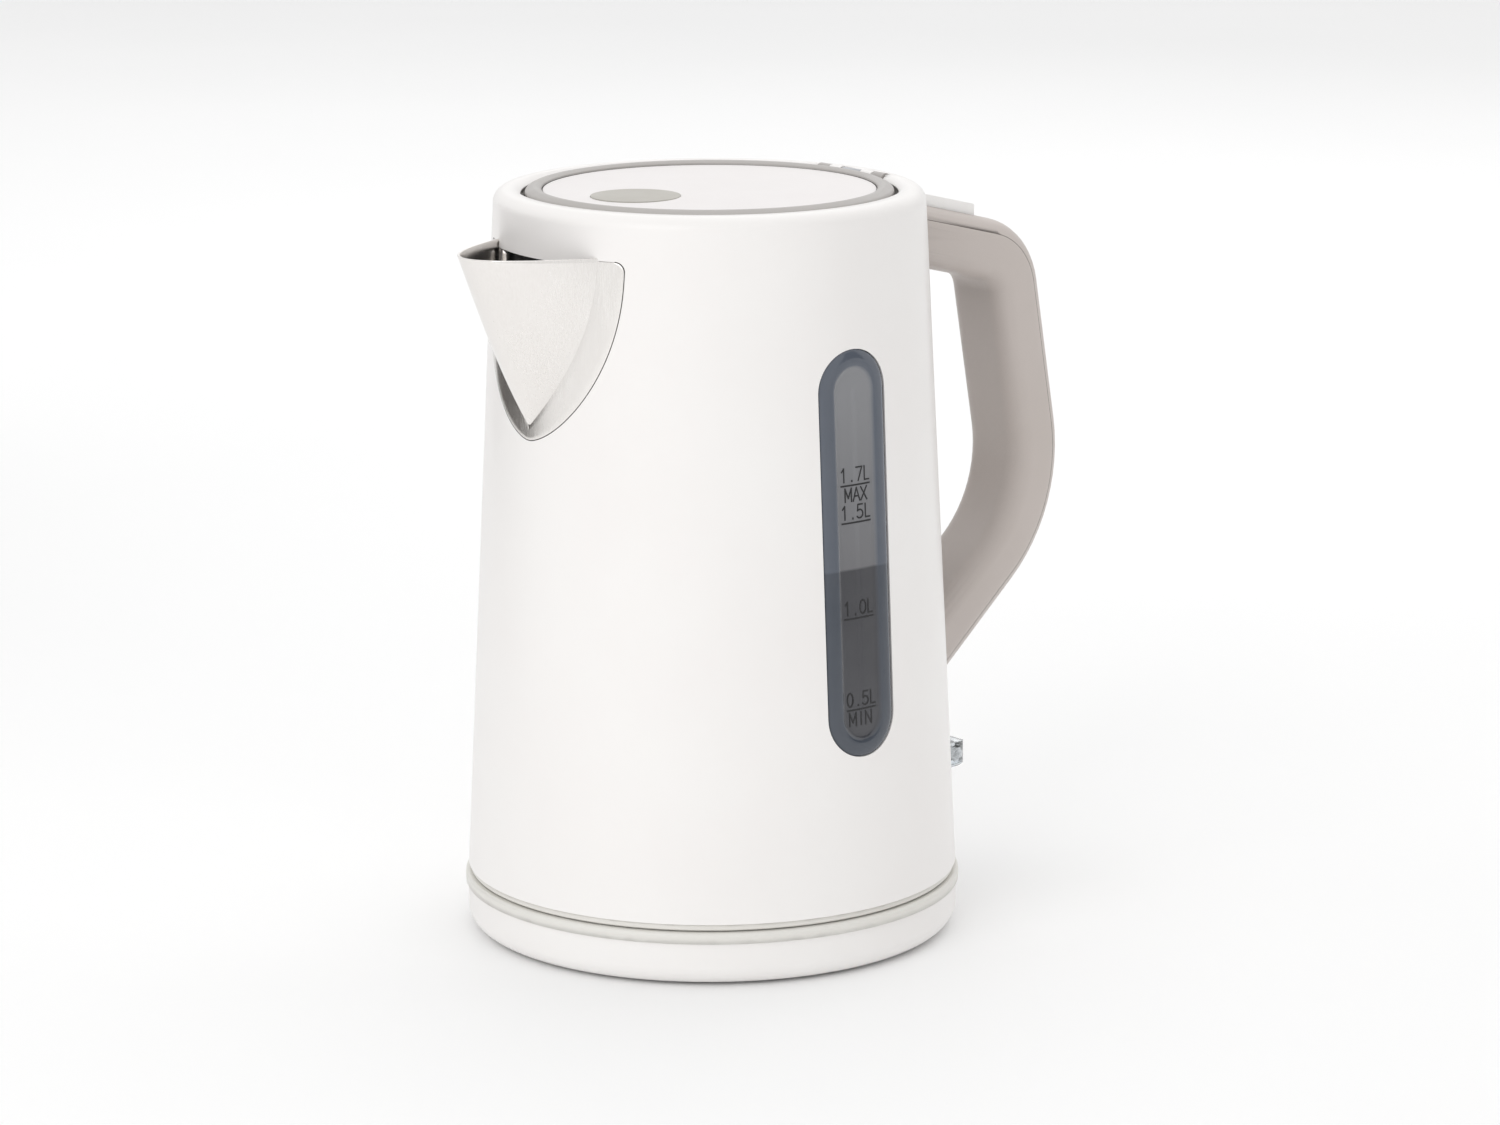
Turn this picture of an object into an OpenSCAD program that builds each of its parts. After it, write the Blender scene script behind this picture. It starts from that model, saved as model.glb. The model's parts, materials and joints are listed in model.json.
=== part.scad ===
// Cordless electric kettle on a round power base.
// The axis of the jug is Z, the table is z = 0, the spout points to -X, the handle to +X
// and the water gauge window to -Y. All sizes are in millimetres.

/* [Jug] */
// Outer diameter of the white shell at its bottom edge
shell_bottom_d = 161; // [150:1:194]
// Outer diameter of the white shell's cone at its top face
shell_top_d = 139; // [132:1:167]
// Height of the white shell, bottom edge to top face
shell_h = 223.2; // [186:0.1:268]
// Wall of the moulded shell
shell_wall = 2.2; // [1.9:0.1:2.7]
// Air gap between the shell and the steel vessel
wall_gap = 0.8; // [0.7:0.1:1.2]
// Wall of the steel vessel
vessel_wall = 0.8; // [0.6:0.1:1.2]
// Height of the chamber below the vessel's floor, for the heater and the switch
chamber_h = 35; // [34:1:42]
// Radius of the shell's outer top edge
rim_round = 4.5; // [3:0.5:6]
// Width of the rim between the outer edge and the lid opening
rim_width = 8.7; // [8:0.1:10]
// Height of the trim ring below the shell
trim_h = 2.2; // [1.8:0.1:3]

/* [Power base] */
// Height of the base, table to top deck
base_h = 18.5; // [17:0.5:23]
// Height of the white lower half of the base
base_split_h = 15; // [13.5:0.5:16]
// How far the base's widest ring stands outside the shell's bottom edge
base_overhang = 1; // [0.5:0.1:2]
// Wall of the base mouldings
base_wall = 2.2; // [1.8:0.1:2.4]
// Clear gap between the base's deck and the jug's trim
base_gap = 0.4; // [0.3:0.1:0.8]
// Radius of the round connector tower
tower_r = 19; // [17:0.5:21]
// Bore of the cord gland
cord_bore_d = 6.8; // [6:0.1:7.6]

/* [Lid] */
// Gap between the lid's ring and the opening
lid_gap = 1.4; // [1.1:0.1:2]
// Width of the lid's coloured ring
lid_ring_w = 5.4; // [4.5:0.1:7]
// Diameter of the round inlay
inlay_d = 28.8; // [20:0.2:34]
// Distance of the inlay's centre from the lid's centre, towards the spout
inlay_offset = 30; // [20:1:36]

/* [Spout] */
// Height of the beak, foot of the crease to the lip
beak_h = 55.9; // [46:0.1:66]
// Half width of the beak where its lip meets the shell
beak_half_w = 26.1; // [22:0.1:30]
// How far the beak's front edge leans out for each unit of height
beak_lean = 0.431; // [0.36:0.001:0.5]
// Sheet thickness of the beak
beak_sheet = 0.9; // [0.7:0.1:1.2]
// Height of the flange around the beak
flange_h = 59.4; // [57:0.1:70]
// Half width of the flange around the beak
flange_half_w = 34.6; // [32:0.1:38]

/* [Gauge window] */
// Width of the window
window_w = 27; // [22:0.5:32]
// Height of the window's lower end above the vessel's floor
window_low = 14.7; // [10:0.1:30]
// Distance of the window's upper end below the rim
window_high = 43.3; // [36:0.1:60]

/* [Handle] */
// Width of the grip, side to side
grip_w = 28; // [24:0.5:32]
// Thickness of the grip, inner face to outer face
grip_t = 20.5; // [18:0.5:23]
// Radius of the grip's long edges
grip_round = 7; // [5:0.5:8.5]
// Thickness of the outer cover strip at the parting line
cover_t = 4.7; // [4:0.1:6]
// Reach of the upper corner of the grip's centreline outside the shell's top radius
grip_reach = 51.8; // [46:0.1:60]
// Reach of the grip's lower corner out from the shell beside it
grip_low_reach = 61.2; // [56:0.1:70]
// Depth of the upper corner below the rim
grip_corner_depth = 33; // [30:0.5:36]
// Height of the lower corner above the shell's bottom edge
grip_low_h = 103.4; // [96:0.1:112]

/* [Moving pieces] */
// Travel of the lid release button
button_travel = 2.8; // [2:0.1:3]
// Width of the lid release button
button_w = 14; // [12:0.5:15]
// Width of the switch lever
lever_w = 20; // [18:0.5:24]
// Radial running clearance of the hinge pins
pin_clearance = 0.05; // [0.02:0.01:0.1]

/* [Hidden] */

// Colours
white = [0.95, 0.94, 0.93];
greige = [0.73, 0.70, 0.67];
pale_greige = [0.79, 0.78, 0.75];
steel = [0.78, 0.77, 0.76];
smoke = [0.35, 0.38, 0.42];
brass = [0.80, 0.66, 0.35];
dark = [0.20, 0.20, 0.20];
silicone = [0.85, 0.84, 0.80];
clear = [0.88, 0.92, 0.94];
nylon = [0.60, 0.60, 0.58];

// Fineness of round shapes, and a reach that passes any wall
round_fn = 144;
small_fn = 48;
past = 0.5;
far = 140;
snug = 0.1;
loose = 0.3;

// Heights of the main levels
shell_z = base_h + base_gap + trim_h;
body_top = shell_z + shell_h;
floor_z = shell_z + chamber_h;
taper = (shell_bottom_d - shell_top_d) / 2 / shell_h;

// Depths below the shell's face of the vessel's two faces
vessel_out = shell_wall + wall_gap;
vessel_in = vessel_out + vessel_wall;

// Base
ring_r = shell_bottom_d / 2 + base_overhang;
lower_r = ring_r - 0.8;
foot_h = 0.8;
foot_depth = 1.2;
foot_out_r = lower_r - 10.7;
foot_in_r = foot_out_r - 8;
base_floor_z = foot_h + 2.4;
base_round = 6;
deck_t = 2.4;
deck_z = base_h - deck_t;
base_boss_r = 45;
base_boss_split = 6;
tower_flange_r = tower_r + 5;
tower_flange_t = 2.5;
tower_top = base_h + 8.5;
pin_hole_r = 4.6;
ring_slot_in = 11.2;
ring_slot_out = 13.2;
slot_floor = deck_z + 1.5;
lead_r = 1.4;
lead_pitch = 3.6;
gland_z = 9.2;
gland_wall = 1.2;
gland_out_x = ring_r - 0.2;
gland_in_x = lower_r - base_wall - 4;
terminal_x = tower_r - 3;

// Connector socket in the jug
socket_play = 0.7;
socket_in_r = tower_r + socket_play;
socket_out_r = socket_in_r + 3.3;
socket_z = base_h + 1.1;
socket_roof = tower_top + 1;
socket_roof_t = 3;
pin_r = 3.6;
ring_blade_t = 0.8;
ring_blade_in = ring_slot_in + 0.6;

// Bottom of the jug
trim_r = shell_bottom_d / 2 - 0.7;
trim_z = base_h + base_gap;
cover_z = trim_z + 0.7;
cover_plate_t = 2;
cover_r = shell_bottom_d / 2 - 3.8;
recess_in_r = socket_out_r + 0.6;
recess_wall = 1.8;
recess_top = socket_roof + socket_roof_t + 1;
bottom_boss_ring = cover_r - 3.4;
bottom_boss_r = 3.4;
bottom_standoff_r = 2.9;
bottom_rib_end = shell_bottom_d / 2 - shell_wall + 0.4 - bottom_boss_ring;
bottom_boss_z = shell_z + 5.2;
bottom_boss_h = 18;

// Neck and lid
opening_r = shell_top_d / 2 - rim_width;
rim_t = 2.4;
rim_under = body_top - rim_t;
neck_in = opening_r + 0.4;
neck_wall = 2;
neck_out = neck_in + neck_wall;
neck_flange_z = body_top - 13.5;
neck_flange_t = 1.8;
neck_seal_t = 2;
vessel_top = neck_flange_z - neck_seal_t;
ledge_r = opening_r - 2.3;
lid_r = opening_r - lid_gap;
lid_top = body_top - 0.3;
lid_disc_r = lid_r - lid_ring_w;
lid_plate_t = 2;
lid_shelf_w = 4;
lid_shelf_t = 1.4;
liner_top = lid_top - lid_plate_t - lid_shelf_t;
liner_r = lid_disc_r;
liner_floor_z = body_top - 15.3;
liner_floor_t = 1.5;
liner_wall = 1.6;
lid_seal_z = neck_flange_z + 0.15;
lid_seal_t = 1.5;
lid_screw_ring = 35;
hinge_x = opening_r - 0.5;
hinge_z = body_top - 1.7;
knuckle_r = 2.2;
hinge_pin_r = 1;
spring_wire_r = 0.4;
spring_half_w = 5;
fixed_knuckle_y = 10.7;
lid_knuckle_y = 11;
lid_knuckle_len = 5.5;
knuckle_room = 0.35;

// Spout
lip_z = body_top - 13.9;
beak_foot_z = lip_z - beak_h;
flange_top_z = body_top - 14.6;
flange_foot_z = flange_top_z - flange_h;
flange_proud = 0.15;
flange_sink = 1;
mouth_top_z = body_top - 16.3;
vessel_mouth_top = vessel_top - 1.5;
mouth_inset = 1.3;
collar_t = 0.8;

// Gauge window
window_z0 = floor_z + window_low;
window_z1 = body_top - window_high;
window_sunk = 0.5;
window_lip = 2;
gauge_slot_w = window_w - 8;
gasket_w = 2.5;

// Heater and control
skirt_h = 7;
heat_plate_r = shell_bottom_d / 2 - 30.5;
heat_plate_t = 3;
plate_z = floor_z - vessel_wall - heat_plate_t;
element_r = heat_plate_r - 12;
element_tube_r = 3.3;
element_gap = 50;
control_r = 30;
control_z = recess_top + 0.9;
control_t = 9;
pipe_r = 4;
pipe_wall = 0.7;
steam_disc_r = 4.7;
pipe_top = liner_floor_z - 3;
pipe_bottom = floor_z - 7.1;
grommet_r = pipe_r + 1.5;

// Switch lever
lever_pivot_x = shell_r(shell_z) - 10.5;
pipe_to_lever = 10.02;
pipe_x = lever_pivot_x - pipe_to_lever;
lever_pivot_z = shell_z + 19.9;
lever_pin_r = 1.5;
lever_end_x = shell_r(shell_z) + 25.5;
ear_gap = 0.4;
ear_t = 1.4;
bezel_half_w = lever_w / 2 + 4.5;
bezel_proud = 0.8;
hatch_half_w = lever_w / 2 + ear_gap + ear_t + snug;
hatch_low = lever_pivot_z - 9.5;
hatch_high = lever_pivot_z + 7.5;

// Handle
arm_slope = 14;
tail_slope = 138;
upper_bend_r = 16.75;
lower_bend_r = 50;
grip_half_t = grip_t / 2;
upper_corner = [shell_top_d / 2 + grip_reach, body_top - grip_corner_depth];
lower_corner_z = shell_z + grip_low_h;
lower_corner = [shell_r(lower_corner_z) + grip_low_reach, lower_corner_z];
lean_slope = atan((upper_corner[1] - lower_corner_z) / (lower_corner[0] - upper_corner[0]));
grip_wall = 4.5;
cover_roof = 2.4;
grip_screw_z = upper_corner[1] + 7.4;
tail_screw_z = lower_corner_z - 44.5;
boss_r = 3.4;

// Release button
button_proud = 3.8;
button_front = shell_r(body_top - 10) + 0.6;
button_rear = upper_corner[0] - 13.9;
button_depth = 6;
well_room = 0.4;
catch_z = body_top - 8.3;
catch_t = 1.8;
catch_half_w = 3.5;
catch_tip_x = liner_r + 4;
button_spring_x = upper_corner[0] - 28;

// ---------------------------------------------------------------- shared shapes

// Radius of the shell's outer face at a height
function shell_r(z) = shell_bottom_d / 2 - (z - shell_z) * taper;

// Points on an arc in a half-section, from one angle to another
function arc_points(centre, r, from, to, steps) =
    [for (i = [0:steps]) centre + r * [cos(from + (to - from) * i / steps),
                                       sin(from + (to - from) * i / steps)]];

// Round bar with a hole, standing on z
module tube(outer, inner, height, fn = round_fn) {
    difference() {
        cylinder(h = height, r = outer, $fn = fn);
        translate([0, 0, -past]) cylinder(h = height + 2 * past, r = inner, $fn = fn);
    }
}

// Band of the jug's cone between two depths below the shell's face
module skin(low, high, near, deep) {
    rotate_extrude($fn = round_fn)
        polygon([[shell_r(low) - deep, low], [shell_r(low) - near, low],
                 [shell_r(high) - near, high], [shell_r(high) - deep, high]]);
}

// Box given by its two corners
module box(low, high) {
    translate(low) cube(high - low);
}

// Upright slot with round ends, cut from the axis out towards -Y
module gauge_slot(width, low, high) {
    rotate([90, 0, 0]) linear_extrude(far) {
        translate([-width / 2, low + width / 2]) square([width, high - low - width]);
        translate([0, low + width / 2]) circle(width / 2, $fn = small_fn);
        translate([0, high - width / 2]) circle(width / 2, $fn = small_fn);
    }
}

// Outline drawn in (y, z), cut from the axis out towards -X
module towards_spout() {
    rotate([90, 0, -90]) linear_extrude(far) children();
}

// Bar along Y, centred on a point in the XZ plane
module cross_bar(x, z, r, y0, y1, fn = small_fn) {
    translate([x, y1, z]) rotate([90, 0, 0]) cylinder(h = y1 - y0, r = r, $fn = fn);
}

// Countersunk screw along +Z with its head at the bottom
module screw(length, r = 1.4, head_r = 2.8) {
    cylinder(h = head_r - r, r1 = head_r, r2 = r, $fn = small_fn);
    cylinder(h = length, r = r, $fn = small_fn);
}

// Hole for that screw: the shank's clearance and the countersink
module screw_hole(length, r = 1.4, head_r = 2.8) {
    translate([0, 0, -past]) cylinder(h = past + snug, r = head_r + snug, $fn = small_fn);
    translate([0, 0, snug]) cylinder(h = head_r - r, r1 = head_r + snug, r2 = r + snug, $fn = small_fn);
    cylinder(h = length, r = r + snug, $fn = small_fn);
}

// Three places on a circle about the axis
module three_around(radius, turn = 60) {
    for (i = [0:2]) rotate([0, 0, turn + 120 * i]) translate([radius, 0, 0]) children();
}

// Round wire wound about z; sides is the number of corners round the wire
module helix(coil_r, wire_r, pitch, turns, per_turn = 14, sides = 6) {
    rings = turns * per_turn;
    points = [for (i = [0:rings], k = [0:sides - 1])
        let (a = 360 * i / per_turn, b = 360 * k / sides, reach = coil_r + wire_r * cos(b))
            [reach * cos(a), reach * sin(a), pitch * i / per_turn + wire_r * sin(b)]];
    walls = [for (i = [0:rings - 1], k = [0:sides - 1])
        let (n = (k + 1) % sides)
            [i * sides + k, i * sides + n, (i + 1) * sides + n, (i + 1) * sides + k]];
    polyhedron(points, concat([for (f = walls) [f[3], f[2], f[1], f[0]]],
                              [[for (k = [0:sides - 1]) k]],
                              [[for (k = [sides - 1:-1:0]) rings * sides + k]]));
}

// ---------------------------------------------------------------- power base

module foot_ring() {
    color(dark) tube(foot_out_r, foot_in_r, foot_h + foot_depth);
}

module base_lower_shell() {
    outer = concat([[0, foot_h]],
        arc_points([lower_r - base_round, foot_h + base_round], base_round, -90, 0, 8),
        [[lower_r, base_split_h]]);
    inner = [[lower_r - base_wall, base_split_h],
        [lower_r - base_wall, base_floor_z + 3], [lower_r - base_wall - 3, base_floor_z],
        [0, base_floor_z]];
    color(white) difference() {
        union() {
            rotate_extrude($fn = round_fn) polygon(concat(outer, inner));
            three_around(base_boss_r)
                translate([0, 0, base_floor_z - past])
                    cylinder(h = base_boss_split - base_floor_z + past, r = 4.2, $fn = small_fn);
            three_around(tower_flange_r - 3.5)
                translate([0, 0, base_floor_z - past])
                    cylinder(h = deck_z - tower_flange_t - base_floor_z + past, r = 2.5, $fn = small_fn);
        }
        translate([0, 0, foot_h - past]) tube(foot_out_r, foot_in_r, foot_depth + past);
        three_around(base_boss_r) translate([0, 0, foot_h]) screw_hole(12);
        translate([gland_in_x, 0, gland_z]) rotate([0, 90, 0])
            cylinder(h = far, r = cord_bore_d / 2 + gland_wall, $fn = small_fn);
    }
}

module base_upper_cover() {
    spigot_out = lower_r - base_wall - loose;
    spigot_in = spigot_out - 2;
    spigot_z = base_split_h - 2.5;
    edge_round = 1.2;
    section = concat(
        [[tower_r + 0.5, deck_z], [spigot_in, deck_z], [spigot_in, spigot_z],
         [spigot_out, spigot_z], [spigot_out, base_split_h], [ring_r, base_split_h]],
        arc_points([ring_r - edge_round, base_h - edge_round], edge_round, 0, 90, 5),
        [[tower_r + 0.5, base_h]]);
    color(pale_greige) difference() {
        union() {
            rotate_extrude($fn = round_fn) polygon(section);
            three_around(base_boss_r)
                translate([0, 0, base_boss_split])
                    cylinder(h = deck_z - base_boss_split + past, r = 3.4, $fn = small_fn);
        }
        three_around(base_boss_r) translate([0, 0, base_boss_split - past])
            cylinder(h = 7.5, r = 1.4, $fn = small_fn);
        gland_r = cord_bore_d / 2 + gland_wall + 1.4;
        box([gland_in_x - 1, -gland_r - loose, spigot_z - 1],
            [lower_r - base_wall, gland_r + loose, base_split_h - 0.01]);
    }
}

module base_connector() {
    lip = 1;
    color(dark) difference() {
        union() {
            translate([0, 0, deck_z - tower_flange_t])
                cylinder(h = tower_flange_t, r = tower_flange_r, $fn = round_fn);
            translate([0, 0, deck_z]) cylinder(h = tower_top - lip - deck_z, r = tower_r, $fn = round_fn);
            translate([0, 0, tower_top - lip])
                cylinder(h = lip, r1 = tower_r, r2 = tower_r - lip, $fn = round_fn);
        }
        translate([0, 0, slot_floor]) cylinder(h = tower_top, r = pin_hole_r, $fn = small_fn);
        translate([0, 0, slot_floor]) tube(ring_slot_out, ring_slot_in, tower_top);
    }
}

module base_ring_contact() {
    color(brass) translate([0, 0, slot_floor]) tube(ring_slot_out - snug, ring_slot_in + snug, 0.8);
}

module base_pin_contact() {
    color(brass) translate([0, 0, slot_floor]) difference() {
        cylinder(h = 1.4, r = pin_hole_r - snug, $fn = small_fn);
        translate([0, 0, 0.5]) cylinder(h = 2, r = pin_hole_r - 0.9, $fn = small_fn);
    }
}

// Three flat tabs under the tower, one for each core of the cord
module base_terminals() {
    tab_top = deck_z - tower_flange_t;
    color(brass) for (i = [-1:1])
        box([terminal_x - 1, i * lead_pitch - 1.5, gland_z - 2.2],
            [terminal_x, i * lead_pitch + 1.5, tab_top]);
}

// The three insulated cores, from the gland to the tabs
module base_leads() {
    colours = [[0.45, 0.28, 0.16], [0.62, 0.68, 0.20], [0.16, 0.32, 0.60]];
    for (i = [-1:1]) color(colours[i + 1])
        translate([terminal_x, i * lead_pitch, gland_z]) rotate([0, 90, 0])
            cylinder(h = gland_in_x - 9 - terminal_x, r = lead_r, $fn = small_fn);
}

module cord_gland() {
    body_r = cord_bore_d / 2 + gland_wall - snug;
    color(dark) translate([gland_in_x, 0, gland_z]) rotate([0, 90, 0]) difference() {
        union() {
            cylinder(h = gland_out_x - gland_in_x, r = body_r, $fn = small_fn);
            cylinder(h = 1.6, r = body_r + 1.2, $fn = small_fn);
        }
        translate([0, 0, -past])
            cylinder(h = gland_out_x - gland_in_x + 2 * past, r = cord_bore_d / 2, $fn = small_fn);
    }
}

module base_screws() {
    color(steel) three_around(base_boss_r) translate([0, 0, foot_h + snug]) screw(11.5);
}

// ---------------------------------------------------------------- connector in the jug

module connector_socket() {
    color(dark) difference() {
        translate([0, 0, socket_z])
            cylinder(h = socket_roof + socket_roof_t - socket_z, r = socket_out_r, $fn = round_fn);
        translate([0, 0, socket_z - past])
            cylinder(h = socket_roof - socket_z + past, r = socket_in_r, $fn = round_fn);
        translate([0, 0, socket_z]) cylinder(h = socket_roof, r = pin_r, $fn = small_fn);
        translate([0, 0, socket_z])
            tube(ring_blade_in + ring_blade_t, ring_blade_in, socket_roof + 1.5 - socket_z);
    }
}

module socket_pin() {
    tip = 1.2;
    color(brass) {
        translate([0, 0, socket_z + tip])
            cylinder(h = socket_roof + socket_roof_t - socket_z - tip, r = pin_r, $fn = small_fn);
        translate([0, 0, socket_z]) cylinder(h = tip, r1 = pin_r - tip, r2 = pin_r, $fn = small_fn);
    }
}

module socket_ring() {
    color(brass) translate([0, 0, socket_z + 0.8])
        tube(ring_blade_in + ring_blade_t, ring_blade_in, socket_roof + 1.5 - socket_z - 0.8);
}

// ---------------------------------------------------------------- shell, vessel and neck

// Closed cone up to the shell's face, used to trim what meets the shell
module shell_core(extra) {
    rotate_extrude($fn = round_fn)
        polygon([[0, shell_z - far], [shell_r(shell_z - far) + extra, shell_z - far],
                 [shell_r(body_top + far) + extra, body_top + far], [0, body_top + far]]);
}

// Room cut in the rim for the hinge, its pin and its spring
module hinge_room(room) {
    cross_bar(hinge_x, hinge_z, knuckle_r + room, -lid_knuckle_y - lid_knuckle_len - room,
              lid_knuckle_y + lid_knuckle_len + room);
}

// Room that the catch needs in the walls it passes through
module catch_room(x0, x1) {
    box([x0, -catch_half_w - loose, catch_z - button_travel - loose],
        [x1, catch_half_w + loose, catch_z + catch_t + loose]);
}

// Outline of the beak's crease, or of the mouth inside it, in (y, z)
function arch_half(fall) = 1 - pow(fall, 2.3);
function mouth_side(inset, steps) =
    [for (i = [0:steps]) let (fall = cos(90 * i / steps), foot = beak_foot_z + inset * 1.6)
        [(beak_half_w - inset) * arch_half(fall), lip_z - fall * (lip_z - foot)]];
function clipped(side, top) = concat([for (p = side) if (p[1] < top - 0.5) p],
    [[side[len(side) - 1][0], top]]);
function both_sides(side) = concat(side, [for (i = [len(side) - 1:-1:1]) [-side[i][0], side[i][1]]]);
module mouth_outline(inset, top) {
    polygon(both_sides(clipped(mouth_side(inset, 16), top)));
}

// Outline of the flange around the beak
module flange_outline(grow) {
    corner = 3;
    half = flange_half_w + grow;
    foot = flange_foot_z - grow;
    top = flange_top_z + grow;
    side = [for (i = [0:18]) let (fall = cos(90 * i / 18))
        [half * pow(1 - pow(fall, 2.2), 0.62), top - corner - fall * (top - corner - foot)]];
    polygon(both_sides(concat(side, arc_points([half - corner, top - corner], corner, 15, 90, 5))));
}

module body_shell() {
    slope = 1.6;
    top_r = shell_top_d / 2;
    boss_turn = 60;
    section = concat(
        [[shell_r(shell_z), shell_z]],
        arc_points([shell_r(body_top - rim_round) - rim_round, body_top - rim_round], rim_round, 0, 90, 8),
        [[opening_r + slope, body_top], [opening_r, body_top - slope], [opening_r, rim_under],
         [shell_r(rim_under) - shell_wall, rim_under], [shell_r(shell_z) - shell_wall, shell_z]]);
    color(white) difference() {
        union() {
            rotate_extrude($fn = round_fn) polygon(section);
            three_around(bottom_boss_ring, boss_turn) {
                translate([0, 0, bottom_boss_z])
                    cylinder(h = bottom_boss_h, r = bottom_boss_r, $fn = small_fn);
                box([0, -1.2, bottom_boss_z], [bottom_rib_end, 1.2, bottom_boss_z + bottom_boss_h]);
            }
        }
        three_around(bottom_boss_ring, boss_turn)
            translate([0, 0, bottom_boss_z - past]) cylinder(h = 12, r = 1.4, $fn = small_fn);
        gauge_slot(window_w, window_z0, window_z1);
        // recess for the spout's flange, which stops either side of the mouth
        difference() {
            intersection() {
                towards_spout() flange_outline(snug);
                skin(flange_foot_z - 2, flange_top_z + 2, -past, flange_sink + snug);
            }
            box([-far, -beak_half_w + mouth_inset, mouth_top_z], [0, beak_half_w - mouth_inset, body_top]);
        }
        towards_spout() mouth_outline(mouth_inset - collar_t - snug, mouth_top_z);
        hinge_room(knuckle_room);
        catch_room(shell_r(catch_z) - shell_wall - 1, shell_r(catch_z) + 2);
        box([shell_r(shell_z) - 6, -hatch_half_w, hatch_low], [far, hatch_half_w, hatch_high]);
        for (z = [grip_screw_z, tail_screw_z])
            translate([shell_r(z) - shell_wall - 0.1, 0, z]) rotate([0, 90, 0]) screw_hole(12);
    }
}

module water_vessel() {
    low = floor_z - skirt_h;
    under = floor_z - vessel_wall;
    color(steel) difference() {
        rotate_extrude($fn = round_fn)
            polygon([[0, floor_z], [shell_r(floor_z) - vessel_in, floor_z],
                     [shell_r(vessel_top) - vessel_in, vessel_top],
                     [shell_r(vessel_top) - vessel_out, vessel_top],
                     [shell_r(low) - vessel_out, low], [shell_r(low) - vessel_in, low],
                     [shell_r(under) - vessel_in, under], [0, under]]);
        gauge_slot(gauge_slot_w, window_z0 + 4, window_z1 - 4);
        towards_spout() mouth_outline(mouth_inset, vessel_mouth_top);
        translate([pipe_x, 0, floor_z - 5]) cylinder(h = 10, r = grommet_r, $fn = small_fn);
    }
}

// Ring that joins the vessel's top to the rim and carries the hinge's fixed knuckles
module neck_ring() {
    flange_r = shell_r(neck_flange_z) - shell_wall - loose;
    color(pale_greige) difference() {
        union() {
            rotate_extrude($fn = round_fn)
                polygon([[ledge_r, neck_flange_z - neck_flange_t], [neck_out, neck_flange_z - neck_flange_t],
                         [neck_out, neck_flange_z], [flange_r, neck_flange_z],
                         [flange_r, neck_flange_z + neck_flange_t], [neck_out, neck_flange_z + neck_flange_t],
                         [neck_out, rim_under], [neck_in, rim_under],
                         [neck_in, neck_flange_z], [ledge_r, neck_flange_z]]);
            cross_bar(hinge_x, hinge_z, knuckle_r, -fixed_knuckle_y, fixed_knuckle_y);
            box([hinge_x, -fixed_knuckle_y, hinge_z - 6], [neck_out - 0.6, fixed_knuckle_y, hinge_z]);
        }
        cross_bar(hinge_x, hinge_z, hinge_pin_r, -far, far);
        for (side = [-1, 1])
            cross_bar(hinge_x, hinge_z, knuckle_r + knuckle_room,
                      min(side * fixed_knuckle_y, side * (lid_knuckle_y + lid_knuckle_len + knuckle_room)),
                      max(side * fixed_knuckle_y, side * (lid_knuckle_y + lid_knuckle_len + knuckle_room)));
        box([hinge_x - knuckle_r - 1, -spring_half_w - snug, hinge_z - 4.6],
            [neck_out + 1, spring_half_w + snug, body_top + 1]);
        catch_room(ledge_r, neck_out + 2);
    }
}

module neck_seal() {
    color(silicone) difference() {
        translate([0, 0, vessel_top])
            cylinder(h = neck_seal_t, r = shell_r(vessel_top) - vessel_out - snug, $fn = round_fn);
        translate([0, 0, vessel_top - past])
            cylinder(h = neck_seal_t + 2 * past, r = neck_out + snug, $fn = round_fn);
    }
}

// ---------------------------------------------------------------- spout

// One level of the beak's sheet: a parabola from the crease round the front edge
function beak_row(z, half, front, depth, columns) =
    [for (j = [-columns:columns]) let (u = j / columns,
                                       back = -sqrt(pow(shell_r(z) - depth, 2) - half * half))
        [front + (back - front) * u * u, half * u, z]];

module beak(rows = 14, columns = 8) {
    sunk = 0.4;
    embed = 0.3;
    start = 0.985;
    row_len = 2 * columns + 1;
    function fall_at(i) = start * cos(90 * i / rows);
    function front_at(z) = -shell_r(beak_foot_z) - beak_lean * (z - beak_foot_z);
    outer = [for (i = [0:rows]) let (f = fall_at(i), z = lip_z - f * beak_h)
        each beak_row(z, beak_half_w * arch_half(f) + embed, front_at(z), sunk, columns)];
    // the inner face starts a little higher so that the foot stays closed
    inner = [for (i = [0:rows]) let (f = fall_at(i) * 0.955, z = lip_z - f * beak_h)
        each beak_row(z, beak_half_w * arch_half(f) + embed - beak_sheet,
                      front_at(z) + beak_sheet / cos(atan(beak_lean)), sunk, columns)];
    count = len(outer);
    function quad(base, i, j) = [base + i * row_len + j, base + i * row_len + j + 1,
                                 base + (i + 1) * row_len + j + 1, base + (i + 1) * row_len + j];
    outer_faces = [for (i = [0:rows - 1], j = [0:row_len - 2]) quad(0, i, j)];
    inner_faces = [for (i = [0:rows - 1], j = [0:row_len - 2]) let (q = quad(count, i, j))
        [q[3], q[2], q[1], q[0]]];
    foot_faces = [for (j = [0:row_len - 2]) [j + 1, j, count + j, count + j + 1]];
    top = rows * row_len;
    lip_faces = [for (j = [0:row_len - 2]) [top + j, top + j + 1, count + top + j + 1, count + top + j]];
    left_faces = [for (i = [0:rows - 1]) let (a = i * row_len, b = (i + 1) * row_len)
        [a, b, count + b, count + a]];
    right_faces = [for (i = [0:rows - 1]) let (a = i * row_len + row_len - 1, b = a + row_len)
        [b, a, count + a, count + b]];
    polyhedron(concat(outer, inner),
               concat(outer_faces, inner_faces, foot_faces, lip_faces,
                      left_faces, right_faces), convexity = 6);
}

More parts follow.
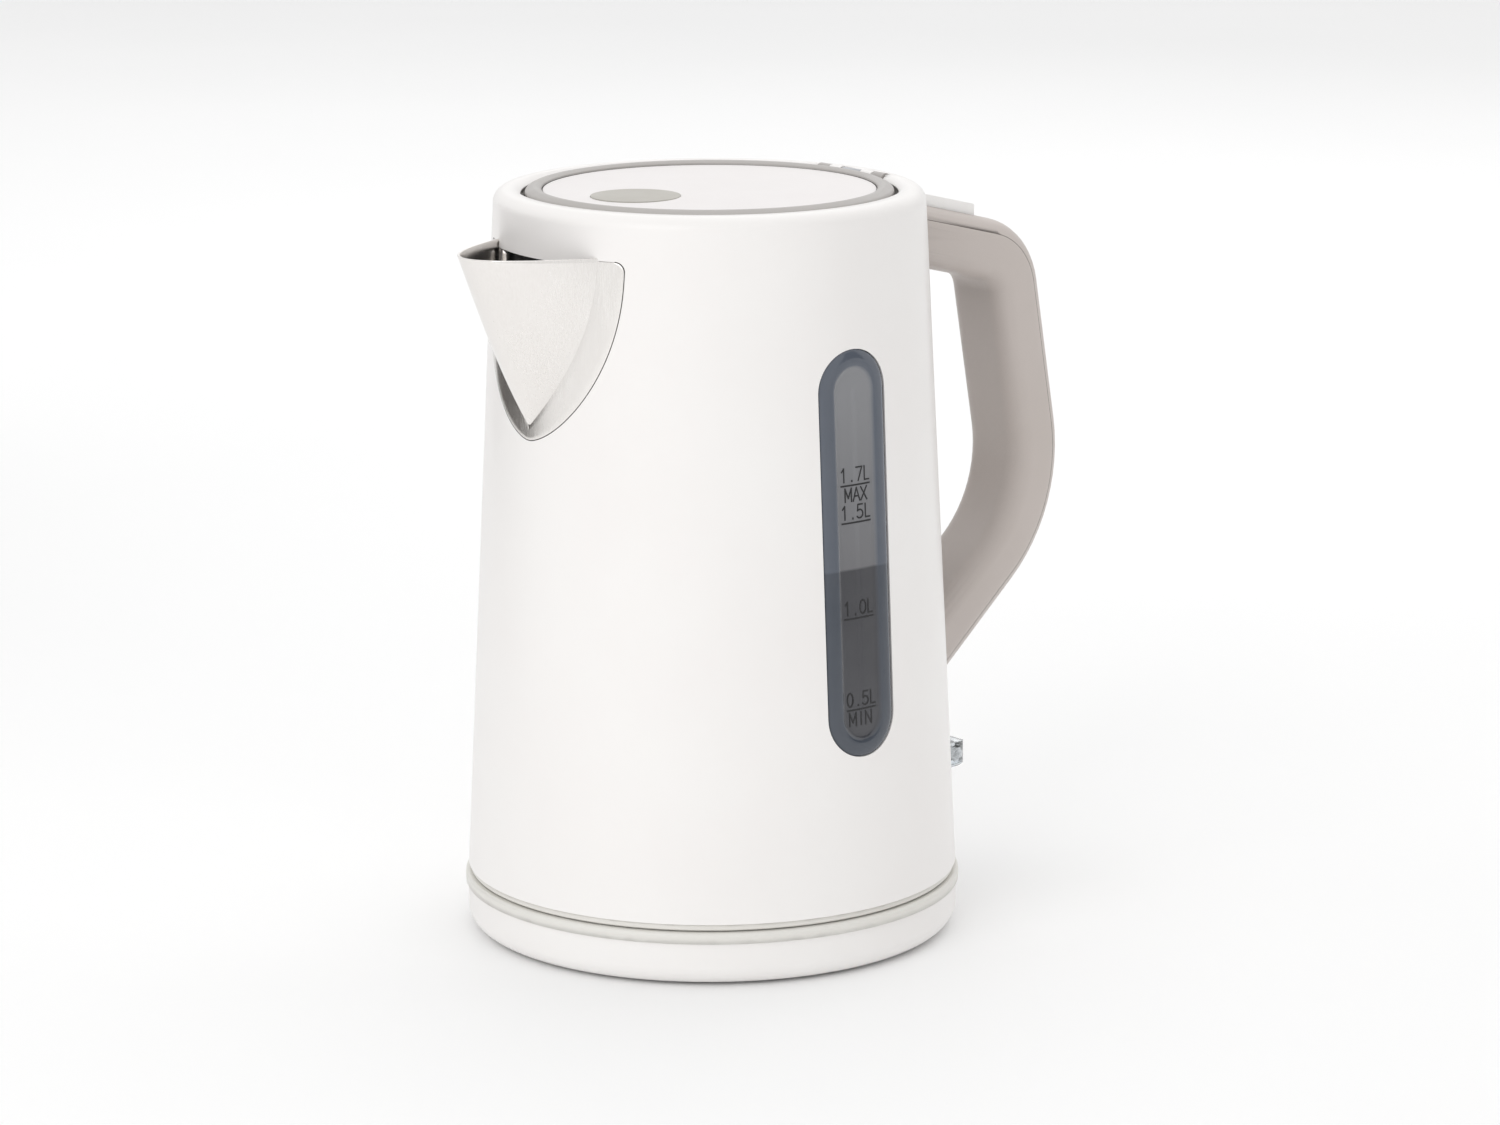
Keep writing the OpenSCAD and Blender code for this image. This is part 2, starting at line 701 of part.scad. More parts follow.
module spout() {
    color(steel) {
        beak();
        // flange let into the shell, open above the mouth
        difference() {
            intersection() {
                towards_spout() flange_outline(0);
                skin(flange_foot_z - 2, flange_top_z + 2, -flange_proud, flange_sink);
            }
            towards_spout() mouth_outline(mouth_inset, flange_top_z + 2);
            box([-far, -beak_half_w + mouth_inset - snug, mouth_top_z - snug],
                [0, beak_half_w - mouth_inset + snug, body_top]);
        }
        // collar through the shell to the vessel
        intersection() {
            difference() {
                towards_spout() mouth_outline(mouth_inset - collar_t, mouth_top_z - snug);
                towards_spout() mouth_outline(mouth_inset, mouth_top_z + 2);
            }
            skin(beak_foot_z - 5, mouth_top_z, flange_sink - 0.2, vessel_out);
        }
    }
}

// Lift-out screen behind the mouth: a frame with upright slots
module spout_filter() {
    frame = 2.5;
    near = vessel_in + 0.3;
    slots = 9;
    pitch = 4.4;
    color(nylon) difference() {
        intersection() {
            towards_spout() mouth_outline(-frame + 0.5, vessel_top - 0.6);
            skin(beak_foot_z - 8, vessel_top - 0.6, near, near + 1.2);
        }
        for (i = [0:slots - 1]) {
            y = (i - (slots - 1) / 2) * pitch;
            low = lip_z - beak_h * pow(1 - (abs(y) + 3.2) / beak_half_w, 1 / 2.3) + 5;
            for (step = [0:3]) {
                z0 = low + (vessel_top - 5 - low) * step / 4;
                z1 = low + (vessel_top - 5 - low) * (step + 1) / 4 - 1.6;
                box([-far, y - 1.4, z0], [-20, y + 1.4, z1]);
            }
        }
    }
}

// ---------------------------------------------------------------- gauge window

module water_window() {
    color(smoke) {
        intersection() {
            gauge_slot(window_w - 2 * snug, window_z0 + snug, window_z1 - snug);
            skin(window_z0 - 5, window_z1 + 5, window_sunk, vessel_out - 0.05);
        }
        intersection() {
            gauge_slot(window_w + 2 * window_lip, window_z0 - window_lip, window_z1 + window_lip);
            skin(window_z0 - 5, window_z1 + 5, shell_wall + 0.05, vessel_out - 0.05);
        }
    }
}

module window_gasket() {
    color(silicone) intersection() {
        difference() {
            gauge_slot(gauge_slot_w, window_z0 + 4, window_z1 - 4);
            gauge_slot(gauge_slot_w - 2 * gasket_w, window_z0 + 4 + gasket_w, window_z1 - 4 - gasket_w);
        }
        skin(window_z0, window_z1, vessel_out - 0.05, vessel_in + 0.5);
    }
}

// ---------------------------------------------------------------- bottom of the jug

module bottom_trim() {
    lip_z0 = cover_z + cover_plate_t;
    spigot_r = shell_bottom_d / 2 - shell_wall - snug;
    color(pale_greige) difference() {
        rotate_extrude($fn = round_fn)
            polygon([[cover_r + loose, trim_z], [trim_r - 0.4, trim_z], [trim_r, trim_z + 0.4],
                     [trim_r, shell_z], [spigot_r, shell_z],
                     [spigot_r - taper * 5, shell_z + 5], [spigot_r - 2, shell_z + 5],
                     [spigot_r - 2, lip_z0 + 1.6], [cover_r - 3, lip_z0 + 1.6],
                     [cover_r - 3, lip_z0], [cover_r + loose, lip_z0]]);
        three_around(bottom_boss_ring) translate([0, 0, lip_z0 - 0.2])
            cylinder(h = 20, r = bottom_standoff_r + loose + snug, $fn = small_fn);
    }
}

module bottom_cover() {
    color(nylon) difference() {
        union() {
            translate([0, 0, cover_z]) cylinder(h = cover_plate_t, r = cover_r, $fn = round_fn);
            translate([0, 0, cover_z])
                cylinder(h = recess_top - cover_z, r = recess_in_r + recess_wall, $fn = round_fn);
            three_around(bottom_boss_ring) translate([0, 0, cover_z])
                cylinder(h = bottom_boss_z - cover_z, r = bottom_standoff_r, $fn = small_fn);
        }
        translate([0, 0, cover_z - past]) cylinder(h = recess_top, r = recess_in_r, $fn = round_fn);
        three_around(bottom_boss_ring) translate([0, 0, cover_z]) screw_hole(20, 1.3, 2);
    }
}

module bottom_screws() {
    color(steel) three_around(bottom_boss_ring) translate([0, 0, cover_z + snug]) screw(14, 1.3, 2);
}

// ---------------------------------------------------------------- heater and control

module heat_plate() {
    color([0.70, 0.71, 0.72]) translate([0, 0, plate_z])
        cylinder(h = heat_plate_t, r = heat_plate_r, $fn = round_fn);
}

module heating_element() {
    color([0.45, 0.42, 0.40]) rotate([0, 0, 180 + element_gap / 2])
        rotate_extrude(angle = 360 - element_gap, $fn = round_fn) {
            translate([element_r, plate_z - element_tube_r]) circle(element_tube_r, $fn = small_fn);
            translate([element_r - element_tube_r, plate_z - element_tube_r])
                square([2 * element_tube_r, element_tube_r]);
        }
}

module element_terminals() {
    color(steel) for (side = [-1, 1]) rotate([0, 0, 180 + side * (element_gap / 2 + 3)])
        translate([element_r, 0, control_z + 2])
            cylinder(h = plate_z - 2 * element_tube_r + 0.4 - control_z - 2, r = 1.5, $fn = small_fn);
}

module control_housing() {
    post_ring = control_r - 5;
    cup_r = 6;
    arm_half_w = 7;
    color(nylon) difference() {
        union() {
            translate([0, 0, control_z]) cylinder(h = control_t, r = control_r, $fn = round_fn);
            three_around(post_ring, 60) translate([0, 0, control_z])
                cylinder(h = plate_z - control_z, r = 3, $fn = small_fn);
            box([0, -arm_half_w, control_z + 2], [pipe_x, arm_half_w, lever_pivot_z + 1]);
            translate([pipe_x, 0, control_z + 2])
                cylinder(h = lever_pivot_z + 1 - control_z - 2, r = cup_r, $fn = small_fn);
        }
        translate([0, 0, control_z + 3]) cylinder(h = control_t, r = control_r - 9, $fn = small_fn);
        translate([pipe_x, 0, lever_pivot_z - 1]) cylinder(h = 5, r = steam_disc_r + snug, $fn = small_fn);
    }
}

// Snap discs that press against the plate and trip when the kettle boils dry
module dry_boil_discs() {
    color([0.72, 0.70, 0.66]) for (y = [-11, 11])
        translate([0, y, plate_z - 0.9]) cylinder(h = 0.5, r = 8, $fn = small_fn);
}

module steam_pipe() {
    color(steel) translate([pipe_x, 0, pipe_bottom])
        tube(pipe_r, pipe_r - pipe_wall, pipe_top - pipe_bottom, small_fn);
}

module pipe_grommet() {
    wide = grommet_r + 1.4;
    color(silicone) translate([pipe_x, 0, 0]) difference() {
        union() {
            translate([0, 0, floor_z - vessel_wall - 1.5])
                cylinder(h = vessel_wall + 3, r = grommet_r, $fn = small_fn);
            translate([0, 0, floor_z]) cylinder(h = 1.5, r = wide, $fn = small_fn);
            translate([0, 0, floor_z - vessel_wall - 1.5]) cylinder(h = 1.5, r = wide, $fn = small_fn);
        }
        translate([0, 0, floor_z - 10]) cylinder(h = 20, r = pipe_r, $fn = small_fn);
    }
}

module steam_disc() {
    color([0.72, 0.70, 0.66]) translate([pipe_x, 0, lever_pivot_z - 1])
        cylinder(h = 0.5, r = steam_disc_r, $fn = small_fn);
}

// ---------------------------------------------------------------- switch lever

module lever_bezel() {
    color(white) difference() {
        union() {
            intersection() {
                box([0, -bezel_half_w, hatch_low - 2.5], [far, bezel_half_w, hatch_high + 2.5]);
                skin(shell_z, floor_z + 10, -bezel_proud, 0);
            }
            intersection() {
                box([0, -hatch_half_w + snug, hatch_low + snug],
                    [far, hatch_half_w - snug, hatch_high - snug]);
                skin(shell_z, floor_z + 10, -past, shell_wall + 0.4);
            }
            for (side = [-1, 1])
                box([lever_pivot_x - 3.5, side * (lever_w / 2 + ear_gap + ear_t / 2) - ear_t / 2,
                     lever_pivot_z - 4],
                    [shell_r(hatch_high) - 0.5, side * (lever_w / 2 + ear_gap + ear_t / 2) + ear_t / 2,
                     lever_pivot_z + 4]);
        }
        box([0, -lever_w / 2 - ear_gap, hatch_low + 1], [far, lever_w / 2 + ear_gap, hatch_high - 1]);
        cross_bar(lever_pivot_x, lever_pivot_z, lever_pin_r, -far, far);
    }
}

module lever_pivot() {
    half = lever_w / 2 + ear_gap + ear_t;
    color(steel) cross_bar(lever_pivot_x, lever_pivot_z, lever_pin_r, -half, half);
}

module switch_lever() {
    root = lever_pivot_x - 3.5;
    end = lever_end_x;
    mid = shell_r(lever_pivot_z) - 0.5;
    z = lever_pivot_z;
    corner = 8;
    half = lever_w / 2;
    color(clear) difference() {
        intersection() {
            translate([0, half, 0]) rotate([90, 0, 0]) linear_extrude(lever_w)
                polygon([[root, z - 2.5], [mid - 5, z - 4.6], [mid, z - 5.7], [end - 2, z - 3.9],
                         [end, z - 3.2], [end, z + 2.7], [end - 2, z + 3.6], [mid, z + 5.4],
                         [mid - 3, z + 5.2], [root, z + 2.5]]);
            translate([0, 0, z - 20]) linear_extrude(40) {
                translate([root - 1, -half]) square([end - corner - root + 1, lever_w]);
                translate([end - corner - 1, -half + corner]) square([corner + 1, lever_w - 2 * corner]);
                for (side = [-1, 1])
                    translate([end - corner, side * (half - corner)]) circle(corner, $fn = small_fn);
            }
        }
        cross_bar(lever_pivot_x, z, lever_pin_r + pin_clearance, -far, far);
        // hollow below, so that the moulding keeps an even wall
        box([mid + 5, -half + 2, z - 20], [end - 3.5, half - 2, z + 1.6]);
        // notch that takes the trip arm
        box([root - 1, -2.6, z - 20], [lever_pivot_x + 2.6, 2.6, z + 20]);
    }
}

// Arm clipped on the pivot's inner side that the steam disc flips
module trip_arm() {
    z = lever_pivot_z;
    color(nylon) difference() {
        union() {
            cross_bar(lever_pivot_x, z, 2.5, -2.5, 2.5);
            box([lever_pivot_x - 8.5, -2, z + 1.4], [lever_pivot_x, 2, z + 2.4]);
            box([pipe_x - 1, -2, z + 1.9], [lever_pivot_x - 6, 2, z + 2.9]);
        }
        cross_bar(lever_pivot_x, z, lever_pin_r + pin_clearance, -far, far);
    }
}

module indicator_lamp() {
    color([0.95, 0.80, 0.70]) translate([lever_pivot_x - 4, 0, lever_pivot_z - 13]) rotate([0, 90, 0]) {
        cylinder(h = 6, r = 2, $fn = small_fn);
        translate([0, 0, 6]) sphere(2, $fn = small_fn);
        cylinder(h = 1, r = 2.5, $fn = small_fn);
    }
}

// ---------------------------------------------------------------- handle

// Unit step along the grip's centreline, and its outward normal, at a slope below +X
function along(a) = [cos(a), -sin(a)];
function outward(a) = [sin(a), cos(a)];
function bend_centre(corner, r, a0, a1) =
    corner - along(a0) * r * tan((a1 - a0) / 2) - outward(a0) * r;
function bend(corner, r, a0, a1, steps) = [for (i = [0:steps]) let (a = a0 + (a1 - a0) * i / steps)
    [bend_centre(corner, r, a0, a1) + r * outward(a), a]];
grip_path = concat(
    [[upper_corner - along(arm_slope) * 64, arm_slope]],
    bend(upper_corner, upper_bend_r, arm_slope, lean_slope, 10),
    bend(lower_corner, lower_bend_r, lean_slope, tail_slope, 12),
    [[lower_corner + along(tail_slope) * 96, tail_slope]]);

// Points on a rounded long edge, given its side, the face it turns to and two turns in degrees
edge_steps = 5;
function edge_points(side, face, from, to, r) =
    [for (i = [0:edge_steps]) let (turn = from + (to - from) * i / edge_steps)
        [face * (grip_half_t - grip_round + r * sin(turn)),
         side * (grip_w / 2 - grip_round + r * cos(turn))]];
// As many points, straight from one to another
function straight_points(from, to) = [for (i = [0:edge_steps]) from + (to - from) * i / edge_steps];
// Turn of the rounded edge at the parting line
split_n = grip_half_t - cover_t;
split_turn = asin(max(0, min(1, (split_n - grip_half_t + grip_round) / grip_round)));
channel_y = grip_w / 2 - grip_wall;
roof_n = grip_half_t - cover_roof;

// Sections in (outward, y), each as an outer face and an inner face with matching points
grip_outer = concat(edge_points(-1, 1, split_turn, 0, grip_round), edge_points(-1, -1, 0, 90, grip_round),
                    edge_points(1, -1, 90, 0, grip_round), edge_points(1, 1, 0, split_turn, grip_round));
grip_inner = concat(straight_points([split_n, -channel_y], [0, -channel_y]),
                    edge_points(-1, -1, 0, 90, grip_round - grip_wall),
                    edge_points(1, -1, 90, 0, grip_round - grip_wall),
                    straight_points([0, channel_y], [split_n, channel_y]));
cover_outer = concat(edge_points(1, 1, split_turn, 90, grip_round),
                     edge_points(-1, 1, 90, split_turn, grip_round));
cover_inner = concat(straight_points([split_n, channel_y], [roof_n, channel_y]),
                     straight_points([roof_n, -channel_y], [split_n, -channel_y]));

// Sweeps a channel section along a list of [point, slope]
module sweep(path, outer, inner) {
    half = len(outer);
    n = 2 * half;
    last = (len(path) - 1) * n;
    section = concat(outer, [for (i = [half - 1:-1:0]) inner[i]]);
    points = [for (ring = path, p = section)
        let (q = ring[0] + p[0] * outward(ring[1])) [q[0], p[1], q[1]]];
    walls = [for (a = [0:n:last - n], k = [0:n - 1]) let (m = (k + 1) % n, b = a + n)
        each [[b + m, a + m, a + k], [b + k, b + m, a + k]]];
    start = [for (k = [0:half - 2]) each [[k, k + 1, n - 2 - k], [k, n - 2 - k, n - 1 - k]]];
    polyhedron(points, concat(walls, start, [for (f = start) [last + f[2], last + f[1], last + f[0]]]),
               convexity = 8);
}

module handle_grip() {
    color(greige) difference() {
        union() {
            sweep(grip_path, grip_outer, grip_inner);
            translate([shell_r(grip_screw_z) - 4, 0, grip_screw_z]) rotate([0, 90, 0])
                cylinder(h = 15, r = boss_r, $fn = small_fn);
            translate([shell_r(tail_screw_z) - 4, 0, tail_screw_z]) rotate([0, 90, 0])
                cylinder(h = 16, r = boss_r, $fn = small_fn);
        }
        shell_core(0);
        for (z = [grip_screw_z, tail_screw_z]) translate([shell_r(z) - 5, 0, z]) rotate([0, 90, 0])
            cylinder(h = 16, r = 1.4, $fn = small_fn);
    }
}

// Level of the grip's top surface at a distance from the axis
function arm_top(x) =
    upper_corner[1] + (upper_corner[0] - x) * tan(arm_slope) + grip_half_t / cos(arm_slope);

module handle_cover() {
    color(greige) difference() {
        sweep(grip_path, cover_outer, cover_inner);
        shell_core(0);
        box([0, -button_w / 2 - well_room, arm_top(button_rear) - 20],
            [button_rear + well_room, button_w / 2 + well_room, body_top + 10]);
    }
}

module handle_screws() {
    color(steel) for (z = [grip_screw_z, tail_screw_z])
        translate([shell_r(z) - shell_wall, 0, z]) rotate([0, 90, 0]) screw(11.5);
}

// ---------------------------------------------------------------- lid hinge and release

module hinge_pin() {
    half = lid_knuckle_y + lid_knuckle_len;
    color(steel) cross_bar(hinge_x, hinge_z, hinge_pin_r, -half, half);
}

// Close-wound torsion spring on the hinge pin, with a leg to the neck and a leg to the lid
module lid_spring() {
    inner = hinge_pin_r + 0.15;
    outer = inner + 2 * spring_wire_r;
    half = spring_half_w - 0.6;
    wire = spring_wire_r * 1.5;
    color(steel) {
        translate([hinge_x, -half, hinge_z]) rotate([-90, 0, 0]) tube(outer, inner, 2 * half, small_fn);
        box([hinge_x + inner + 0.1, -half, hinge_z - 3.8],
            [hinge_x + inner + 0.1 + wire, -half + wire, hinge_z]);
        box([hinge_x - 4.6, half - wire, hinge_z - inner - 0.1 - wire],
            [hinge_x, half, hinge_z - inner - 0.1]);
    }
}

module lid_cover() {
    color(white) difference() {
        union() {
            translate([0, 0, lid_top - lid_plate_t])
                cylinder(h = lid_plate_t, r = lid_disc_r - 0.2, $fn = round_fn);
            three_around(lid_screw_ring) translate([0, 0, liner_floor_z + liner_floor_t])
                cylinder(h = lid_top - lid_plate_t / 2 - liner_floor_z - liner_floor_t,
                         r = 3.2, $fn = small_fn);
        }
        translate([-inlay_offset, 0, lid_top - 0.8])
            cylinder(h = 2, r = inlay_d / 2 + snug, $fn = round_fn);
        three_around(lid_screw_ring) translate([0, 0, liner_floor_z])
            cylinder(h = 9.5, r = 1.4, $fn = small_fn);
    }
}

module lid_inlay() {
    color(greige) translate([-inlay_offset, 0, lid_top - 0.8])
        cylinder(h = 0.9, r = inlay_d / 2, $fn = round_fn);
}

module lid_ring() {
    under = hinge_z - 1;
    crest = lid_top + 1;
    edge = lid_top - 0.4;
    outer = lid_r;
    inner = lid_disc_r;
    color(greige) difference() {
        union() {
            difference() {
                rotate_extrude($fn = round_fn)
                    polygon(concat([[inner - lid_shelf_w, liner_top], [inner, liner_top],
                                    [inner + 0.5, under], [outer, under]],
                        arc_points([outer - 1.6, edge - 0.9], 1.6, 0, 60, 4),
                        [[outer - 2.4, crest - 0.15], [outer - 3.2, crest], [outer - 4, crest - 0.15],
                         [inner + 0.4, lid_top + 0.3], [inner, lid_top], [inner, lid_top - lid_plate_t],
                         [inner - lid_shelf_w, lid_top - lid_plate_t]]));
                cross_bar(hinge_x, hinge_z, knuckle_r + knuckle_room,
                          -lid_knuckle_y + 0.15, lid_knuckle_y - 0.15);
            }
            for (side = [-1, 1]) {
                y0 = min(side * lid_knuckle_y, side * (lid_knuckle_y + lid_knuckle_len));
                cross_bar(hinge_x, hinge_z, knuckle_r, y0, y0 + lid_knuckle_len);
                box([hinge_x - 5.5, y0, under], [hinge_x, y0 + lid_knuckle_len, hinge_z + 0.6]);
            }
        }
        cross_bar(hinge_x, hinge_z, hinge_pin_r + pin_clearance, -far, far);
    }
}

module lid_liner() {
    low_r = liner_r - 1.5;
    striker_half_w = 4;
    color(pale_greige) difference() {
        union() {
            rotate_extrude($fn = round_fn)
                polygon([[0, liner_floor_z], [low_r - 1, liner_floor_z], [low_r, liner_floor_z + 1],
                         [liner_r, liner_top], [liner_r - liner_wall, liner_top],
                         [low_r - liner_wall, liner_floor_z + liner_floor_t],
                         [0, liner_floor_z + liner_floor_t]]);
            box([liner_r - 1.4, -striker_half_w, catch_z + 0.6],
                [catch_tip_x - 0.5, striker_half_w, catch_z + 2.2]);
        }
        three_around(lid_screw_ring) translate([0, 0, liner_floor_z]) screw_hole(20, 1.4, 2.6);
    }
}

module lid_seal() {
    grip_r = liner_r - 1.5 + 1.5 * (lid_seal_z - liner_floor_z - 1) / (liner_top - liner_floor_z - 1);
    color(silicone) difference() {
        translate([0, 0, lid_seal_z]) cylinder(h = lid_seal_t, r = ledge_r + 1.1, $fn = round_fn);
        translate([0, 0, lid_seal_z - past])
            cylinder(h = lid_seal_t + 2 * past, r = grip_r + 0.25, $fn = round_fn);
    }
}

module lid_screws() {
    color(steel) three_around(lid_screw_ring) translate([0, 0, liner_floor_z + snug]) screw(9, 1.4, 2.6);
}

module release_button() {
    color(white) difference() {
        translate([0, button_w / 2, 0]) rotate([90, 0, 0]) linear_extrude(button_w)
            polygon([[button_front, arm_top(button_front) - button_depth],
                     [button_rear, arm_top(button_rear) - button_depth],
                     [button_rear, arm_top(button_rear) + button_proud - 0.4],
                     [button_rear - 0.4, arm_top(button_rear - 0.4) + button_proud],
                     [button_front, arm_top(button_front) + button_proud]]);
        // hollow below, with a flat seat for the spring
        box([button_front + 3, -button_w / 2 + 1.6, 0],
            [button_rear - 2, button_w / 2 - 1.6, arm_top(button_rear) - 0.6]);
    }
}

module button_spring() {
    channel_z = upper_corner[1] + (upper_corner[0] - button_spring_x) * tan(arm_slope)
        - (grip_half_t - grip_wall) / cos(arm_slope);
    coil_r = 3;
    wire_r = 0.4;
    seat_z = arm_top(button_rear) - 0.6;
    foot_z = channel_z + coil_r * tan(arm_slope) + 0.6;
    turns = 5;
    color(steel) translate([button_spring_x, 0, foot_z + wire_r])
        helix(coil_r, wire_r, (seat_z - foot_z - 2 * wire_r - 0.05) / turns, turns);
}

// Hook that runs from the button through the rim to the lid's striker
module lid_catch() {
    nose = 3;
    color(nylon) {
        box([catch_tip_x, -catch_half_w, catch_z], [button_front, catch_half_w, catch_z + catch_t]);
        box([catch_tip_x, -catch_half_w, catch_z], [catch_tip_x + 1.6, catch_half_w, catch_z + nose]);
    }
}

foot_ring();
base_lower_shell();
base_upper_cover();
base_connector();
base_ring_contact();
base_pin_contact();
base_terminals();
base_leads();
cord_gland();
base_screws();
connector_socket();
socket_pin();
socket_ring();
body_shell();
water_vessel();
neck_ring();
neck_seal();
spout();
spout_filter();
water_window();
window_gasket();
bottom_trim();
bottom_cover();
bottom_screws();
heat_plate();
heating_element();
element_terminals();
control_housing();
dry_boil_discs();
steam_pipe();
pipe_grommet();
steam_disc();
lever_bezel();
lever_pivot();
indicator_lamp();
handle_grip();
handle_cover();
handle_screws();
hinge_pin();
lid_spring();
button_spring();
lid_cover();
lid_ring();
lid_inlay();
lid_liner();
lid_seal();
lid_screws();
release_button();
lid_catch();
switch_lever();
trip_arm();
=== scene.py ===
import json
import math

import bmesh
import bpy
import numpy as np
from mathutils import Matrix, Vector

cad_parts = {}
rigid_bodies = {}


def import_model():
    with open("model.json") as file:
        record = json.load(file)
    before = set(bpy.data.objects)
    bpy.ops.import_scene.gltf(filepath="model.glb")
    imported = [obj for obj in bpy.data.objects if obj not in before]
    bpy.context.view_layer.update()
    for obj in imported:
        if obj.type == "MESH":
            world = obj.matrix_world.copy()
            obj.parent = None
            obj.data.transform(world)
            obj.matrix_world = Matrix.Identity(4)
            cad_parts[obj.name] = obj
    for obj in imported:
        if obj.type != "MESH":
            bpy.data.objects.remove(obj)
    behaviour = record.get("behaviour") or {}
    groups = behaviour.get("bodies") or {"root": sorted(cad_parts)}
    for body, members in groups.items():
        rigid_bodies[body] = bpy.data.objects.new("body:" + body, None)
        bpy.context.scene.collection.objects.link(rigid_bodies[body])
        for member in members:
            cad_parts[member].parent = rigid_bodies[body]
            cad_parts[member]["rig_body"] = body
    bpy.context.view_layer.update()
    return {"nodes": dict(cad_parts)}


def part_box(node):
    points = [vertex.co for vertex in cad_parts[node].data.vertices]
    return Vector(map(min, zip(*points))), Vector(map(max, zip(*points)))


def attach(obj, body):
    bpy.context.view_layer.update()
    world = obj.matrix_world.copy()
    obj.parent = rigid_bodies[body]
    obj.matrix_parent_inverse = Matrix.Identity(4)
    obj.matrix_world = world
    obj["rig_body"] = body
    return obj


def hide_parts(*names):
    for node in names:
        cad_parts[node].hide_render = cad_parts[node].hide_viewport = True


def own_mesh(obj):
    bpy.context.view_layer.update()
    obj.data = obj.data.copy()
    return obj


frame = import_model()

MM = 0.001


# ------------------------------------------------------------------ sizes read from the frame

def low(node):
    return np.array(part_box(node)[0]) / MM


def high(node):
    return np.array(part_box(node)[1]) / MM


SHELL_Z = low("body_shell")[2]
BODY_TOP = high("body_shell")[2]
SHELL_LOW_R = high("body_shell")[1]
SHELL_TOP_R = SHELL_LOW_R - 11.0


def shell_r(z):
    """Radius of the jug's cone in millimetres: straight from the bottom edge to the top face."""
    return SHELL_LOW_R + (SHELL_TOP_R - SHELL_LOW_R) * (np.asarray(z, float) - SHELL_Z) / (BODY_TOP - SHELL_Z)


# ------------------------------------------------------------------ camera

VIEW_TURN = 38.4


def place_camera():
    """Looks down at the jug from its spout and gauge side, with a long lens."""
    turn, pitch, yaw, roll = np.radians([VIEW_TURN, 12.64, 0.47, -0.13]).tolist()
    distance, height = 1.553, 0.4685
    to_kettle = Matrix.Rotation(-turn, 3, "Z")
    forward = Vector((math.sin(yaw) * math.cos(pitch), math.cos(yaw) * math.cos(pitch), -math.sin(pitch)))
    right = Vector((math.cos(yaw), -math.sin(yaw), 0))
    up = right.cross(forward)
    side = right * math.cos(roll) + up * math.sin(roll)
    top = up * math.cos(roll) - right * math.sin(roll)
    axes = Matrix([to_kettle @ side, to_kettle @ top, to_kettle @ -forward]).transposed()
    data = bpy.data.cameras.new("camera")
    data.sensor_width = 36.0
    data.lens = 116.8
    data.clip_end = 20.0
    camera = bpy.data.objects.new("camera", data)
    camera.matrix_world = Matrix.Translation(to_kettle @ Vector((0, -distance, height))) @ axes.to_4x4()
    bpy.context.scene.collection.objects.link(camera)
    bpy.context.scene.camera = camera


place_camera()


# ------------------------------------------------------------------ materials

def linear(*srgb):
    """Linear colour of three display values from 0 to 255."""
    c = np.array(srgb, float) / 255
    return tuple(np.where(c <= 0.04045, c / 12.92, ((c + 0.055) / 1.055) ** 2.4)) + (1.0,)


